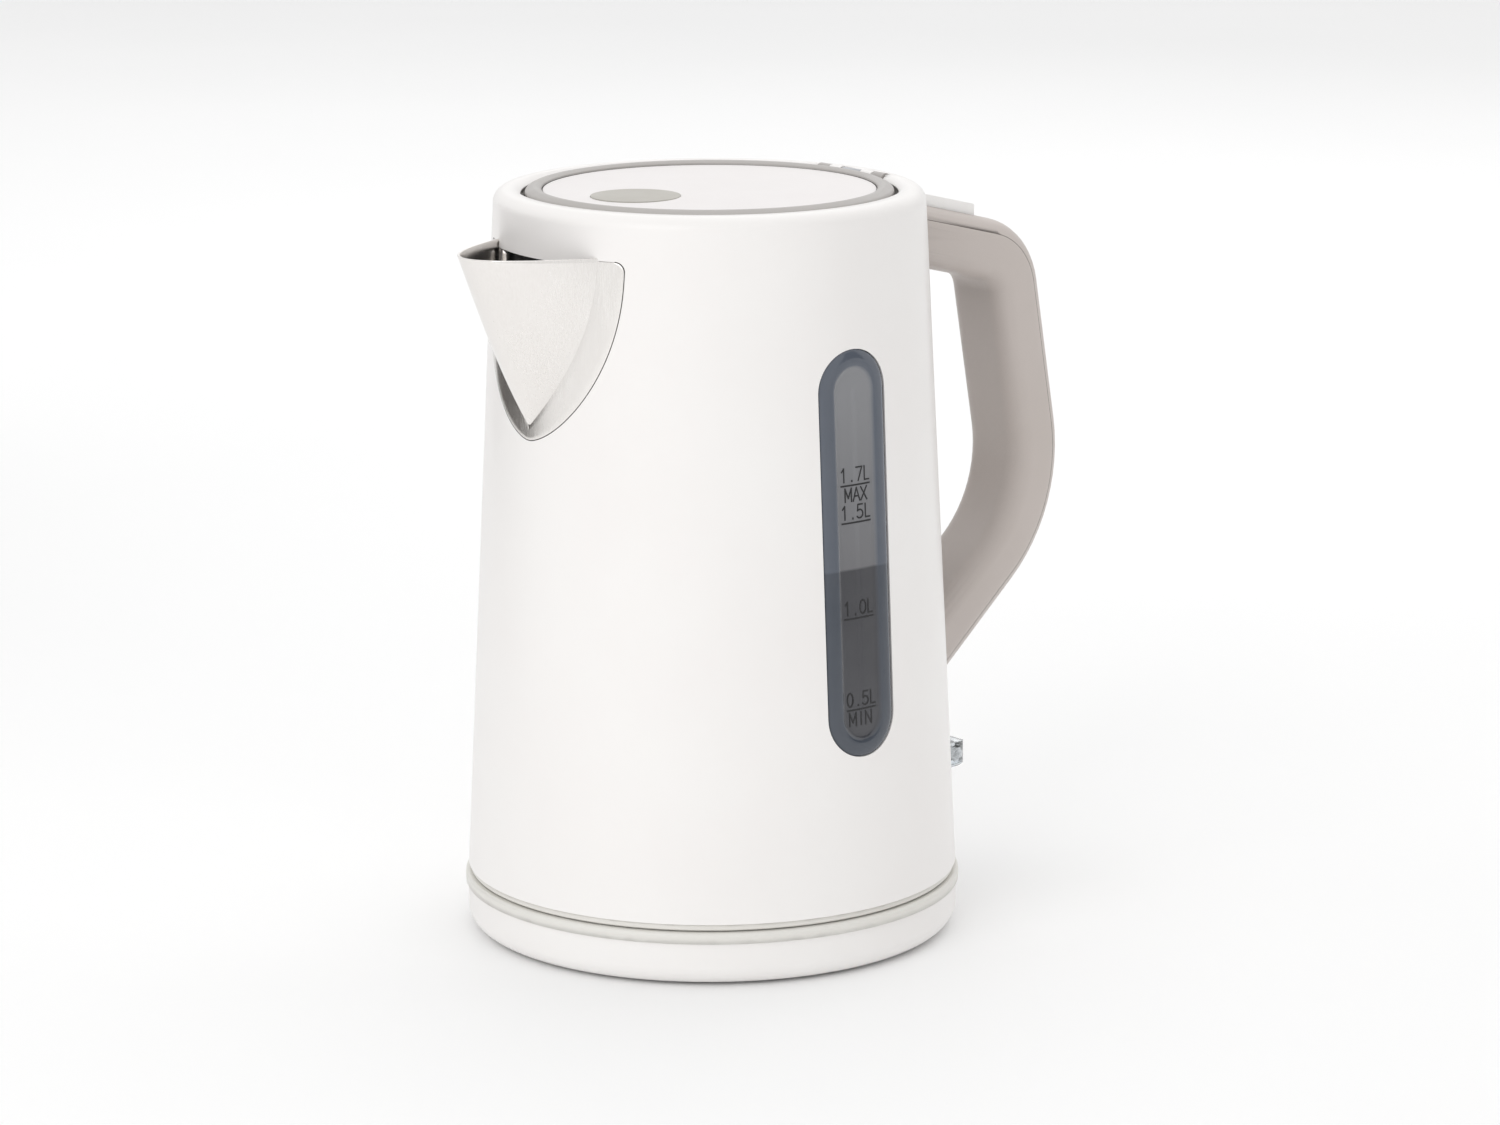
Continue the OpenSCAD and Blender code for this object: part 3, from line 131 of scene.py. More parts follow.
class Finish:
    """A node material: a Principled surface whose colour, roughness and bump come from patterns in space."""

    def __init__(self, name):
        self.material = bpy.data.materials.new(name)
        self.material.use_nodes = True
        self.tree = self.material.node_tree
        self.tree.nodes.clear()
        self.out = self.node("ShaderNodeOutputMaterial")
        self.surface = self.node("ShaderNodeBsdfPrincipled")
        self.tree.links.new(self.surface.outputs[0], self.out.inputs["Surface"])
        self.where = self.node("ShaderNodeTexCoord").outputs["Object"]

    def node(self, kind, **values):
        made = self.tree.nodes.new(kind)
        for key, value in values.items():
            setattr(made, key, value)
        return made

    def link(self, source, target):
        self.tree.links.new(source, target)

    def set(self, **values):
        for key, value in values.items():
            self.surface.inputs[key.replace("_", " ")].default_value = value
        return self

    def stretched(self, scale):
        """Object coordinates stretched by a factor on each axis."""
        mapping = self.node("ShaderNodeMapping")
        mapping.inputs["Scale"].default_value = scale
        self.link(self.where, mapping.inputs["Vector"])
        return mapping.outputs[0]

    def noise(self, scale, detail=3.0, rough=0.55, vector=None):
        made = self.node("ShaderNodeTexNoise")
        made.inputs["Scale"].default_value = scale
        made.inputs["Detail"].default_value = detail
        made.inputs["Roughness"].default_value = rough
        self.link(vector or self.where, made.inputs["Vector"])
        return made.outputs["Fac"]

    def spread(self, value, low_out, high_out, low_in=0.3, high_in=0.7):
        made = self.node("ShaderNodeMapRange")
        for key, number in (("From Min", low_in), ("From Max", high_in),
                            ("To Min", low_out), ("To Max", high_out)):
            made.inputs[key].default_value = number
        self.link(value, made.inputs["Value"])
        return made.outputs[0]

    def blend(self, fac, first, second):
        made = self.node("ShaderNodeMix", data_type="RGBA")
        self.link(fac, made.inputs["Factor"])
        for socket, value in ((made.inputs[6], first), (made.inputs[7], second)):
            if isinstance(value, tuple):
                socket.default_value = value
            else:
                self.link(value, socket)
        return made.outputs[2]

    def bump(self, *layers):
        """Stacks (height, strength, distance) layers into the surface's normal."""
        normal = None
        for height, strength, distance in layers:
            made = self.node("ShaderNodeBump")
            made.inputs["Strength"].default_value = strength
            made.inputs["Distance"].default_value = distance
            self.link(height, made.inputs["Height"])
            if normal is not None:
                self.link(normal, made.inputs["Normal"])
            normal = made.outputs[0]
        self.link(normal, self.surface.inputs["Normal"])
        return self

    def edges(self, radius):
        """How far the surface is from flat within a small radius: 0 on faces, 1 on sharp edges."""
        bevel = self.node("ShaderNodeBevel", samples=4)
        bevel.inputs["Radius"].default_value = radius
        flat = self.node("ShaderNodeNewGeometry").outputs["Normal"]
        dot = self.node("ShaderNodeVectorMath", operation="DOT_PRODUCT")
        self.link(bevel.outputs[0], dot.inputs[0])
        self.link(flat, dot.inputs[1])
        return self.spread(dot.outputs["Value"], 1.0, 0.0, 0.8, 0.995)


def moulded(name, colour, tint, rough=(0.3, 0.42), grain=0.12, grain_scale=2600, coat=0.0, worn=None,
            painted_shade=0.0):
    """Moulded plastic: a fine spark texture, slow flow marks in gloss and colour, and lighter worn edges.
    With a shade share set, the colour itself is darker by up to that share where surfaces face each other:
    painted shade, found by ambient occlusion."""
    f = Finish(name)
    flow = f.noise(18, 4)
    base = f.blend(f.spread(flow, 0, 1), colour, tint)
    if worn:
        base = f.blend(f.edges(0.0006), base, worn)
    if painted_shade:
        # Painted shade: ambient occlusion darkens the colour where surfaces face each other.
        open_to = f.node("ShaderNodeAmbientOcclusion", samples=6)
        open_to.inputs["Distance"].default_value = 0.07
        shade_colour = tuple(c * (1 - painted_shade) for c in colour[:3]) + (1.0,)
        base = f.blend(f.spread(open_to.outputs["AO"], 1, 0, 0.25, 0.95), base, shade_colour)
    f.link(base, f.surface.inputs["Base Color"])
    f.link(f.spread(f.noise(55, 5), *rough), f.surface.inputs["Roughness"])
    f.set(IOR=1.49, Coat_Weight=coat, Coat_Roughness=0.12)
    return f.bump((f.noise(grain_scale, 2), grain, 0.00006), (f.noise(30, 2), 0.05, 0.0006)).material


def brushed(name, colour, dark, stretch, rough=(0.26, 0.4), metallic=1.0, lines=0.25, fine=900):
    """Brushed metal: fine parallel scratches along one axis, in colour, gloss and bump, with a soft cloud
    of wear."""
    f = Finish(name)
    scratch = f.noise(fine, 4, 0.7, f.stretched(stretch))
    broad = f.noise(160, 3, 0.6, f.stretched(stretch))
    cloud = f.noise(25, 3)
    base = f.blend(f.spread(scratch, 0, 1), dark, colour)
    base = f.blend(f.spread(broad, 0, 0.35), base, colour)
    f.link(base, f.surface.inputs["Base Color"])
    mixed = f.node("ShaderNodeMath", operation="ADD")
    f.link(f.spread(scratch, rough[0], rough[1]), mixed.inputs[0])
    f.link(f.spread(cloud, -0.03, 0.05), mixed.inputs[1])
    f.link(mixed.outputs[0], f.surface.inputs["Roughness"])
    f.set(Metallic=metallic, Anisotropic=0.4)
    return f.bump((scratch, lines, 0.00004), (cloud, 0.04, 0.0008)).material


def see_through(name, colour, tint, rough=(0.05, 0.14), transmission=1.0, alpha=1.0, ior=1.49):
    """Clear or smoked plastic: tinted transmission with faint flow marks and handling haze."""
    f = Finish(name)
    f.link(f.blend(f.spread(f.noise(22, 3), 0, 1), colour, tint), f.surface.inputs["Base Color"])
    f.link(f.spread(f.noise(70, 5), *rough), f.surface.inputs["Roughness"])
    f.set(Transmission_Weight=transmission, IOR=ior, Alpha=alpha)
    return f.bump((f.noise(35, 2), 0.04, 0.0006), (f.noise(1500, 2), 0.03, 0.00004)).material


white = moulded("white_shell_finish", linear(245, 243, 241), linear(243, 240, 238), rough=(0.32, 0.44),
                grain=0.08, coat=0.12, worn=linear(248, 246, 244))
lid_white = moulded("white_lid_finish", linear(236, 232, 231), linear(233, 229, 228), rough=(0.36, 0.46),
                    grain=0.08, worn=linear(246, 244, 242))
# The grip's greige carries painted shade: up to 45% darker where surfaces face each other.
greige = moulded("greige_finish", linear(203, 194, 189), linear(198, 189, 183), rough=(0.36, 0.5), grain=0.22,
                 grain_scale=1900, worn=linear(214, 207, 201), painted_shade=0.45)
inlay_greige = moulded("inlay_finish", linear(179, 175, 166), linear(175, 171, 162), rough=(0.34, 0.46),
                       grain=0.14, worn=linear(190, 186, 178))
ring_greige = moulded("ring_greige_finish", linear(178, 174, 171), linear(174, 170, 166), rough=(0.3, 0.42),
                      grain=0.12, worn=linear(204, 200, 196))
# Painted light: a brighter copy of the white plastic for the release tab, lifting a face that falls in shade.
tab_white_lit = moulded("tab_white_finish", linear(252, 251, 249), linear(250, 248, 246), rough=(0.3, 0.4),
                    grain=0.06, worn=linear(253, 252, 250))
base_greige = moulded("base_greige_finish", linear(230, 228, 223), linear(227, 225, 219), rough=(0.34, 0.46),
                      grain=0.14, worn=linear(228, 225, 219))
steel = brushed("brushed_steel_finish", linear(243, 240, 237), linear(233, 229, 225), (1.0, 1.0, 0.05),
                rough=(0.2, 0.27), lines=0.08, fine=2600)
vessel_steel = brushed("drawn_steel_finish", linear(205, 204, 202), linear(160, 158, 156), (0.05, 0.05, 1.4),
                       rough=(0.2, 0.34))
brass = brushed("brass_finish", linear(214, 182, 110), linear(170, 136, 74), (1.0, 1.0, 0.1),
                rough=(0.25, 0.4))
zinc = brushed("zinc_finish", linear(196, 198, 202), linear(150, 152, 156), (1.0, 0.2, 1.0), rough=(0.3,
               0.45))
cast = brushed("cast_aluminium_finish", linear(190, 191, 193), linear(160, 161, 163), (0.8, 0.8, 0.8),
               rough=(0.42, 0.6), lines=0.5)
sheath = brushed("tinted_sheath_finish", linear(128, 116, 108), linear(88, 78, 74), (0.4, 0.4, 1.0),
                 rough=(0.35, 0.55))
black = moulded("black_nylon_finish", linear(38, 38, 39), linear(30, 30, 31), rough=(0.42, 0.58), grain=0.3,
                grain_scale=1500, worn=linear(70, 70, 71))
nylon = moulded("grey_nylon_finish", linear(168, 168, 164), linear(156, 156, 152), rough=(0.4, 0.55),
                grain=0.25, grain_scale=1500, worn=linear(186, 186, 182))
foot_black = moulded("rubber_finish", linear(34, 34, 34), linear(44, 44, 43), rough=(0.62, 0.82), grain=0.5,
                     grain_scale=1100, worn=linear(64, 63, 61))
silicone = moulded("silicone_finish", linear(222, 219, 208), linear(212, 209, 197), rough=(0.45, 0.6),
                   grain=0.2, worn=linear(232, 230, 222))
core_brown = moulded("cable_core_finish", linear(124, 88, 62), linear(108, 76, 54), rough=(0.4, 0.55),
                     grain=0.2, worn=linear(146, 112, 86))
# Painted shadow: dark seam strips laid where gaps between parts fall into shade.
seam = moulded("seam_shadow_finish", linear(58, 54, 51), linear(48, 45, 43), rough=(0.7, 0.85), grain=0.1)
soft_seam_shadow = moulded("soft_seam_finish", linear(128, 120, 115), linear(118, 111, 106), rough=(0.7, 0.85),
                    grain=0.1)
ink = moulded("print_ink_finish", linear(26, 26, 28), linear(34, 34, 36), rough=(0.45, 0.6), grain=0.3,
              grain_scale=3000)


def smoked(name):
    """Smoked clear plastic. What shows through it is painted in its colour: paler above one height and
    darker below it, and bluer in the thick rim, by the pane's own rim attribute."""
    f = Finish(name)
    height = f.node("ShaderNodeSeparateXYZ")
    f.link(f.where, height.inputs[0])
    z = height.outputs["Z"]
    upper = f.blend(f.spread(z, 0, 1, 0.131, 0.196), linear(112, 112, 115), linear(140, 141, 144))
    panel = f.blend(f.spread(z, 0, 1, 0.1308, 0.1316), linear(56, 56, 61), upper)
    rim_upper = f.blend(f.spread(z, 0, 1, 0.1308, 0.1316), linear(62, 69, 80), linear(84, 91, 103))
    rim = f.node("ShaderNodeAttribute", attribute_name="rim")
    base = f.blend(rim.outputs["Fac"], panel, rim_upper)
    cloudy = f.blend(f.spread(f.noise(22, 3), 0, 0.12), base, linear(150, 152, 156))
    f.link(cloudy, f.surface.inputs["Base Color"])
    f.link(f.spread(f.noise(70, 5), 0.07, 0.16), f.surface.inputs["Roughness"])
    f.set(IOR=1.49, Transmission_Weight=0.08, Coat_Weight=0.3, Coat_Roughness=0.05)
    return f.bump((f.noise(35, 2), 0.05, 0.0006), (f.noise(1500, 2), 0.03, 0.00004)).material


smoke = smoked("smoked_window_finish")
clear = see_through("clear_lever_finish", linear(236, 240, 243), linear(228, 234, 238), rough=(0.06, 0.16))
lamp = see_through("lamp_finish", linear(240, 214, 198), linear(236, 204, 186), transmission=0.8)


# ------------------------------------------------------------------ mesh helpers

def piece(name, points, faces, finish, body, replaces=(), smooth=True, sharp=None):
    """A mesh object from points in millimetres and faces given by index, riding on a body."""
    mesh = bpy.data.meshes.new(name)
    mesh.from_pydata((np.asarray(points, float) * MM).tolist(), [], [tuple(map(int, f)) for f in faces])
    mesh.update()
    mesh.shade_smooth() if smooth else mesh.shade_flat()
    if sharp is not None:
        mesh.set_sharp_from_angle(angle=math.radians(sharp))
    mesh.materials.append(finish)
    made = bpy.data.objects.new(name, mesh)
    bpy.context.scene.collection.objects.link(made)
    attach(made, body)
    if replaces:
        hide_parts(*replaces)
    return made


def grid_faces(rows, columns, close_rows=False, close_columns=False, offset=0, flip=False):
    """Quads of a grid of points stored row by row, closed round either way where asked."""
    i = np.arange(rows if close_rows else rows - 1)[:, None]
    j = np.arange(columns if close_columns else columns - 1)[None, :]
    i2, j2 = (i + 1) % rows, (j + 1) % columns
    quads = np.stack([i * columns + j + 0 * i2, i * columns + j2, i2 * columns + j2,
                      i2 * columns + j + 0 * j2], -1)
    quads = quads.reshape(-1, 4) + offset
    return quads[:, ::-1] if flip else quads


def open_tube_faces(rows, columns):
    """Faces of a tube stored as rings of the same number of points, with a flat cap on both ends."""
    last = columns * (rows - 1)
    return (grid_faces(rows, columns, False, True).tolist()
            + [list(range(columns)), list(range(last + columns - 1, last - 1, -1))])


def revolve(profile, steps=256):
    """A closed ring: a closed profile of (radius, height) turned about the jug's axis."""
    profile = np.asarray(profile, float)
    angle = np.radians(np.arange(steps) * 360 / steps)[:, None]
    points = np.stack([profile[:, 0] * np.cos(angle), profile[:, 0] * np.sin(angle),
                       profile[:, 1] + 0 * angle], -1).reshape(-1, 3)
    return points, grid_faces(steps, len(profile), True, True)


def turned_out(made):
    """Points a closed mesh's faces outwards."""
    bm = bmesh.new()
    bm.from_mesh(made.data)
    bmesh.ops.remove_doubles(bm, verts=bm.verts, dist=1e-7)
    bmesh.ops.recalc_face_normals(bm, faces=bm.faces)
    bm.to_mesh(made.data)
    bm.free()
    return made


def smoothed(node, finish, angle=32, weighted=True):
    """A copy of a frame node with its loose triangles joined, smooth over curves and sharp at edges."""
    source = frame["nodes"][node]
    mesh = source.data.copy()
    bm = bmesh.new()
    bm.from_mesh(mesh)
    bmesh.ops.remove_doubles(bm, verts=bm.verts, dist=2e-6)
    bm.to_mesh(mesh)
    bm.free()
    mesh.shade_smooth()
    mesh.set_sharp_from_angle(angle=math.radians(angle))
    mesh.materials.clear()
    mesh.materials.append(finish)
    for polygon in mesh.polygons:
        polygon.material_index = 0
    made = bpy.data.objects.new(node + "_finished", mesh)
    bpy.context.scene.collection.objects.link(made)
    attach(made, source["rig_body"])
    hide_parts(node)
    if weighted:
        made.modifiers.new("even_shading", "WEIGHTED_NORMAL").keep_sharp = True
    return made


def round_normals(made, tilt, aligned=0.93):
    """Gives every corner on the copy's outer cone the cone's own normal, so that long triangles shade
    evenly. The normal of a cone is its radial direction plus a constant tilt upwards."""
    mesh = made.data
    corners = len(mesh.loops)
    normals = np.zeros(corners * 3, np.float32)
    mesh.corner_normals.foreach_get("vector", normals)
    normals = normals.reshape(-1, 3)
    index = np.zeros(corners, np.int32)
    mesh.loops.foreach_get("vertex_index", index)
    places = np.zeros(len(mesh.vertices) * 3, np.float32)
    mesh.vertices.foreach_get("co", places)
    at = places.reshape(-1, 3)[index]
    radial = at[:, :2] / np.maximum(np.linalg.norm(at[:, :2], axis=1), 1e-9)[:, None]
    cone = np.concatenate([radial, np.full((corners, 1), tilt)], 1)
    cone /= np.linalg.norm(cone, axis=1)[:, None]
    faces = np.zeros(len(mesh.polygons) * 3, np.float32)
    mesh.polygons.foreach_get("normal", faces)
    totals = np.zeros(len(mesh.polygons), np.int32)
    mesh.polygons.foreach_get("loop_total", totals)
    facing = np.repeat(faces.reshape(-1, 3), totals, axis=0)
    on_cone = np.abs(np.linalg.norm(at[:, :2], axis=1) / MM - shell_r(at[:, 2] / MM)) < 0.25
    on_cone &= at[:, 2] / MM < BODY_TOP - 4.4
    on_cone &= (facing * cone).sum(1) > aligned
    normals[on_cone] = cone[on_cone]
    mesh.normals_split_custom_set(normals.tolist())


def finish_node(node, finish):
    """Gives a frame node its material."""
    slots = frame["nodes"][node].material_slots
    for one in slots:
        one.material = finish
    if not slots:
        frame["nodes"][node].data.materials.append(finish)


# ------------------------------------------------------------------ every frame node's finish

NODE_FINISH = {
    "foot_ring": foot_black, "base_lower_shell": white, "base_upper_cover": base_greige,
    "base_connector": black, "base_ring_contact": brass, "base_pin_contact": brass,
    "base_terminals": brass, "base_leads": core_brown, "cord_gland": black, "base_screws": zinc,
    "connector_socket": black, "socket_pin": brass, "socket_ring": brass, "body_shell": white,
    "water_vessel": vessel_steel, "neck_ring": white, "neck_seal": silicone, "spout": steel,
    "spout_filter": black, "water_window": smoke, "window_gasket": silicone, "bottom_trim": base_greige,
    "bottom_cover": nylon, "bottom_screws": zinc, "heat_plate": cast, "heating_element": sheath,
    "element_terminals": zinc, "control_housing": nylon, "dry_boil_discs": sheath,
    "steam_pipe": vessel_steel, "pipe_grommet": silicone, "steam_disc": sheath, "lever_bezel": white,
    "lever_pivot": zinc, "indicator_lamp": lamp, "handle_grip": greige, "handle_cover": greige,
    "handle_screws": zinc, "hinge_pin": zinc, "lid_spring": zinc, "button_spring": zinc,
    "lid_cover": lid_white, "lid_ring": ring_greige, "lid_inlay": inlay_greige, "lid_liner": nylon,
    "lid_seal": silicone, "lid_screws": zinc, "release_button": tab_white_lit, "lid_catch": nylon,
    "switch_lever": clear, "trip_arm": nylon,
}
for node, finish in NODE_FINISH.items():
    finish_node(node, finish)

for node, slot in (("body_shell", "white_plastic"), ("base_lower_shell", "white_plastic"),
                   ("base_upper_cover", "pale_greige_plastic"), ("bottom_trim", "pale_greige_plastic"),
                   ("lid_ring", "greige_plastic"), ("lid_inlay", "greige_plastic"),
                   ("neck_ring", "pale_greige_plastic"),
                   ("lever_bezel", "white_plastic"), ("foot_ring", "foot_rubber")):
    made = smoothed(node, NODE_FINISH[node], weighted=node != "body_shell")
    if node == "body_shell":
        round_normals(made, (SHELL_LOW_R - SHELL_TOP_R) / (BODY_TOP - SHELL_Z))


# ------------------------------------------------------------------ stage

def make_stage():
    """A wide pale floor that curves up into a backdrop far behind the jug."""
    turn = math.radians(-VIEW_TURN)
    run = np.linspace(0, 1, 60)
    reach, rise = 9.0, 3.0
    flat = run < 0.55
    bend = np.clip((run - 0.55) / 0.45, 0, 1) * math.pi / 2
    along = np.where(flat, -2.6 + run / 0.55 * (reach + 2.6), reach + rise * np.sin(bend))
    height = np.where(flat, 0.0, rise * (1 - np.cos(bend)))
    across = np.linspace(-7, 7, 24)
    a, h = np.repeat(along, 24), np.repeat(height, 24)
    c = np.tile(across, 60)
    points = np.stack([c * math.cos(turn) - a * math.sin(turn),
                       c * math.sin(turn) + a * math.cos(turn), h], -1)
    mesh = bpy.data.meshes.new("floor")
    mesh.from_pydata(points.tolist(), [], grid_faces(60, 24, flip=True).tolist())
    mesh.shade_smooth()
    f = Finish("floor_finish")
    f.link(f.blend(f.spread(f.noise(3, 2), 0, 1), (0.99, 0.99, 0.99, 1), (0.98, 0.98, 0.98, 1)),
           f.surface.inputs["Base Color"])
    f.link(f.spread(f.noise(12, 2), 0.65, 0.75), f.surface.inputs["Roughness"])
    mesh.materials.append(f.material)
    floor = bpy.data.objects.new("floor", mesh)
    bpy.context.scene.collection.objects.link(floor)


make_stage()


def soft_light(name, place, target, size, power, colour=(1, 1, 1)):
    data = bpy.data.lights.new(name, "AREA")
    data.shape = "RECTANGLE"
    data.size, data.size_y = size
    data.energy = power
    data.color = colour
    light = bpy.data.objects.new(name, data)
    aim = (Vector(target) - Vector(place)).to_track_quat("-Z", "Y")
    light.matrix_world = Matrix.Translation(place) @ aim.to_matrix().to_4x4()
    bpy.context.scene.collection.objects.link(light)


def from_camera_side(right, back, up):
    """A place given as metres to the right of, behind and above the jug as the camera sees it."""
    turn = math.radians(-VIEW_TURN)
    return (right * math.cos(turn) - back * math.sin(turn),
            right * math.sin(turn) + back * math.cos(turn), up)


middle = (0, 0, 0.13)
soft_light("key_light", from_camera_side(-0.95, -1.65, 1.2), middle, (1.2, 1.4), 7.5)
soft_light("top_light", from_camera_side(0.3, 0.8, 1.9), middle, (1.8, 1.8), 5.5)
soft_light("back_light", from_camera_side(0.5, 1.8, 1.2), middle, (2.2, 1.2), 3)


def dark_card(name, place, size):
    """A slightly bowed matt card for the steel to reflect. It is hidden from the camera and casts no shadow."""
    aim = (Vector(middle) - Vector(place)).to_track_quat("Z", "Y").to_matrix()
    u, v = np.meshgrid(np.linspace(-0.5, 0.5, 9), np.linspace(-0.5, 0.5, 9))
    flat = np.stack([u * size[0], v * size[1], 0.05 * (u ** 2)], -1).reshape(-1, 3)
    points = flat @ np.array(aim).T + np.array(place)
    mesh = bpy.data.meshes.new(name)
    mesh.from_pydata(points.tolist(), [], grid_faces(9, 9).tolist())
    mesh.materials.append(card_finish)
    card = bpy.data.objects.new(name, mesh)
    card.visible_camera = False
    card.visible_shadow = False
    bpy.context.scene.collection.objects.link(card)


card_finish = moulded("card_finish", linear(74, 70, 66), linear(68, 64, 60), rough=(0.8, 0.9), grain=0.1)
dark_card("shade_card", from_camera_side(1.25, -0.35, 0.55), (0.5, 1.0))
dark_card("left_card", from_camera_side(-0.85, 0.45, 0.16), (0.8, 0.45))

world = bpy.data.worlds.new("studio")
world.use_nodes = True
world.node_tree.nodes["Background"].inputs[0].default_value = (1, 1, 1, 1)
world.node_tree.nodes["Background"].inputs[1].default_value = 0.86
bpy.context.scene.world = world
bpy.context.scene.view_settings.view_transform = "Standard"

# ------------------------------------------------------------------ shapes that follow the jug's skin

def on_skin(s, z, depth, towards=-90.0):
    """Points on the jug's cone: s is the arc from the upright that faces the given angle, measured
    at that height, z the height, and depth how far outside the shell's face the point lies."""
    s, z, depth = np.broadcast_arrays(np.asarray(s, float), np.asarray(z, float), np.asarray(depth, float))
    radius = shell_r(z) + depth
    angle = math.radians(towards) + s / shell_r(z)
    return np.stack([radius * np.cos(angle), radius * np.sin(angle), z], -1)


WINDOW_LOW, WINDOW_HIGH = low("water_window")[2] + 1.9, high("water_window")[2] - 1.9
WINDOW_HALF = 13.4
PANEL_DEPTH = -0.5


def stadium(count, half, bottom, top):
    """Outline of an upright slot with round ends, and the nearest points of its middle line:
    a half circle below, a straight side, a half circle above and the other side."""
    turn = np.linspace(-math.pi, 0, count)
    side = np.linspace(0, 1, count + 2)[1:-1]
    z0, z1 = bottom + half, top - half
    outline = np.concatenate([
        np.stack([half * np.cos(turn), z0 + half * np.sin(turn)], -1),
        np.stack([0 * side + half, z0 + (z1 - z0) * side], -1),
        np.stack([half * np.cos(turn + math.pi), z1 + half * np.sin(turn + math.pi)], -1),
        np.stack([0 * side - half, z1 + (z0 - z1) * side], -1)])
    middle = np.stack([0 * outline[:, 0], np.clip(outline[:, 1], z0, z1)], -1)
    return outline, middle


def window_pane():
    """Smoked pane: contours of the slot shrink towards its middle line. The height over the shell
    rises from a sunk edge to a round rim, stays level, then drops by a soft step to the inner panel."""
    outline, middle = stadium(28, WINDOW_HALF, WINDOW_LOW, WINDOW_HIGH)
    inset = np.array([0, 0.15, 0.5, 1.0, 1.6, 2.3, 3.2, 4.4, 5.2, 5.6, 5.9, 6.2, 6.6, 8.0, 10.0, 12.0,
                      WINDOW_HALF])
    rise = np.array([-1.0, -0.55, -0.2, 0.06, 0.24, 0.34, 0.36, 0.3, 0.22, 0.06, -0.22, -0.42]
                    + [PANEL_DEPTH] * 5)
    share = (inset / WINDOW_HALF)[:, None, None]
    flat = outline + (middle - outline) * share
    front = on_skin(flat[..., 0], flat[..., 1], rise[:, None])
    back = on_skin(flat[..., 0], flat[..., 1], -2.5)[::-1]
    points = np.concatenate([front, back]).reshape(-1, 3)
    made = piece("window_pane", points, grid_faces(2 * len(inset), len(outline), True, True), smoke,
                 "jug", replaces=["water_window"])
    rim = made.data.attributes.new("rim", "FLOAT", "POINT")
    weight = np.clip((6.4 - inset) / 1.2, 0, 1)
    rim.data.foreach_set("value", np.repeat(np.concatenate([weight, weight[::-1]]), len(outline)))
    return turned_out(made)


def skin_line(name, path, half_width, depth, finish, body="jug", towards=-90.0, closed=True):
    """A thin raised line along a closed path of (arc, height) on the jug's skin: each point is moved
    half a width to either side along the path's normal, and the strip is a shallow closed box."""
    path = np.asarray(path, float)
    ahead, behind = np.roll(path, -1, 0), np.roll(path, 1, 0)
    if not closed:
        ahead[-1], behind[0] = path[-1], path[0]
    step = ahead - behind
    step /= np.linalg.norm(step, axis=1)[:, None]
    normal = np.stack([-step[:, 1], step[:, 0]], -1) * half_width
    rows = [on_skin((path + side * normal)[:, 0], (path + side * normal)[:, 1], d, towards)
            for side, d in ((1, -0.15), (1, depth), (-1, depth), (-1, -0.15))]
    points = np.stack(rows, 1).reshape(-1, 3)
    faces = grid_faces(len(path), 4, True, True) if closed else open_tube_faces(len(path), 4)
    return turned_out(piece(name, points, faces, finish, body))


def spout_flange_path(grow, steps=44):
    """Outline of the spout's flange in (arc, height): its half width is the full one times
    (1 - fall^2.2)^0.62, with fall 1 at the foot and 0 at the top, and a small round corner above."""
    half, foot, top, corner = 34.6 + grow, BODY_TOP - 74.0 - grow, BODY_TOP - 14.6 + grow, 3.0
    fall = np.cos(np.linspace(0.03, 1, steps) * math.pi / 2)
    y = half * (1 - fall ** 2.2) ** 0.62
    z = top - corner - fall * (top - corner - foot)
    turn = np.radians(np.linspace(12, 90, 8))
    y = np.concatenate([y, half - corner + corner * np.cos(turn)])
    z = np.concatenate([z, top - corner + corner * np.sin(turn)])
    arc = shell_r(z) * np.arcsin(y / shell_r(z))
    return arc, z


def flange_seam():
    """Shadow line in the gap round the spout's flange, from one top corner round the foot to the other."""
    arc, z = spout_flange_path(0.12)
    path = np.concatenate([np.stack([arc[::-1], z[::-1]], -1), np.stack([-arc, z], -1)])
    return skin_line("flange_seam", path, 0.14, 0.03, seam, towards=180.0, closed=False)


# ------------------------------------------------------------------ gauge marks

def curve_points(centre, radii, start, end, count):
    """Points of an ellipse arc: centre plus the radii times cosine and sine of an even run of angles."""
    turn = np.radians(np.linspace(start, end, count))
    return np.stack([centre[0] + radii[0] * np.cos(turn), centre[1] + radii[1] * np.sin(turn)], -1).tolist()


STROKES = {
    "1": [[(0.2, 0.76), (0.7, 1.0), (0.7, 0.0)]],
    "7": [[(0.0, 1.0), (1.0, 1.0), (0.34, 0.0)]],
    "5": [[(0.92, 1.0), (0.16, 1.0), (0.08, 0.54)] + curve_points((0.42, 0.31), (0.54, 0.31), 128, -145, 14)],
    "0": [curve_points((0.5, 0.5), (0.5, 0.5), 0, 360, 21)],
    ".": [[(0.5, 0.0), (0.5, 0.07)]],
    "L": [[(0.0, 1.0), (0.0, 0.0), (1.0, 0.0)]],
    "M": [[(0.0, 0.0), (0.0, 1.0), (0.5, 0.25), (1.0, 1.0), (1.0, 0.0)]],
    "A": [[(0.0, 0.0), (0.5, 1.0), (1.0, 0.0)], [(0.2, 0.36), (0.8, 0.36)]],
    "X": [[(0.0, 0.0), (1.0, 1.0)], [(0.0, 1.0), (1.0, 0.0)]],
    "I": [[(0.5, 0.0), (0.5, 1.0)]],
    "N": [[(0.0, 0.0), (0.0, 1.0), (1.0, 0.0), (1.0, 1.0)]],
}
PRINT_LOW, PRINT_HIGH, STROKE_HALF = -0.54, -0.42, 0.24


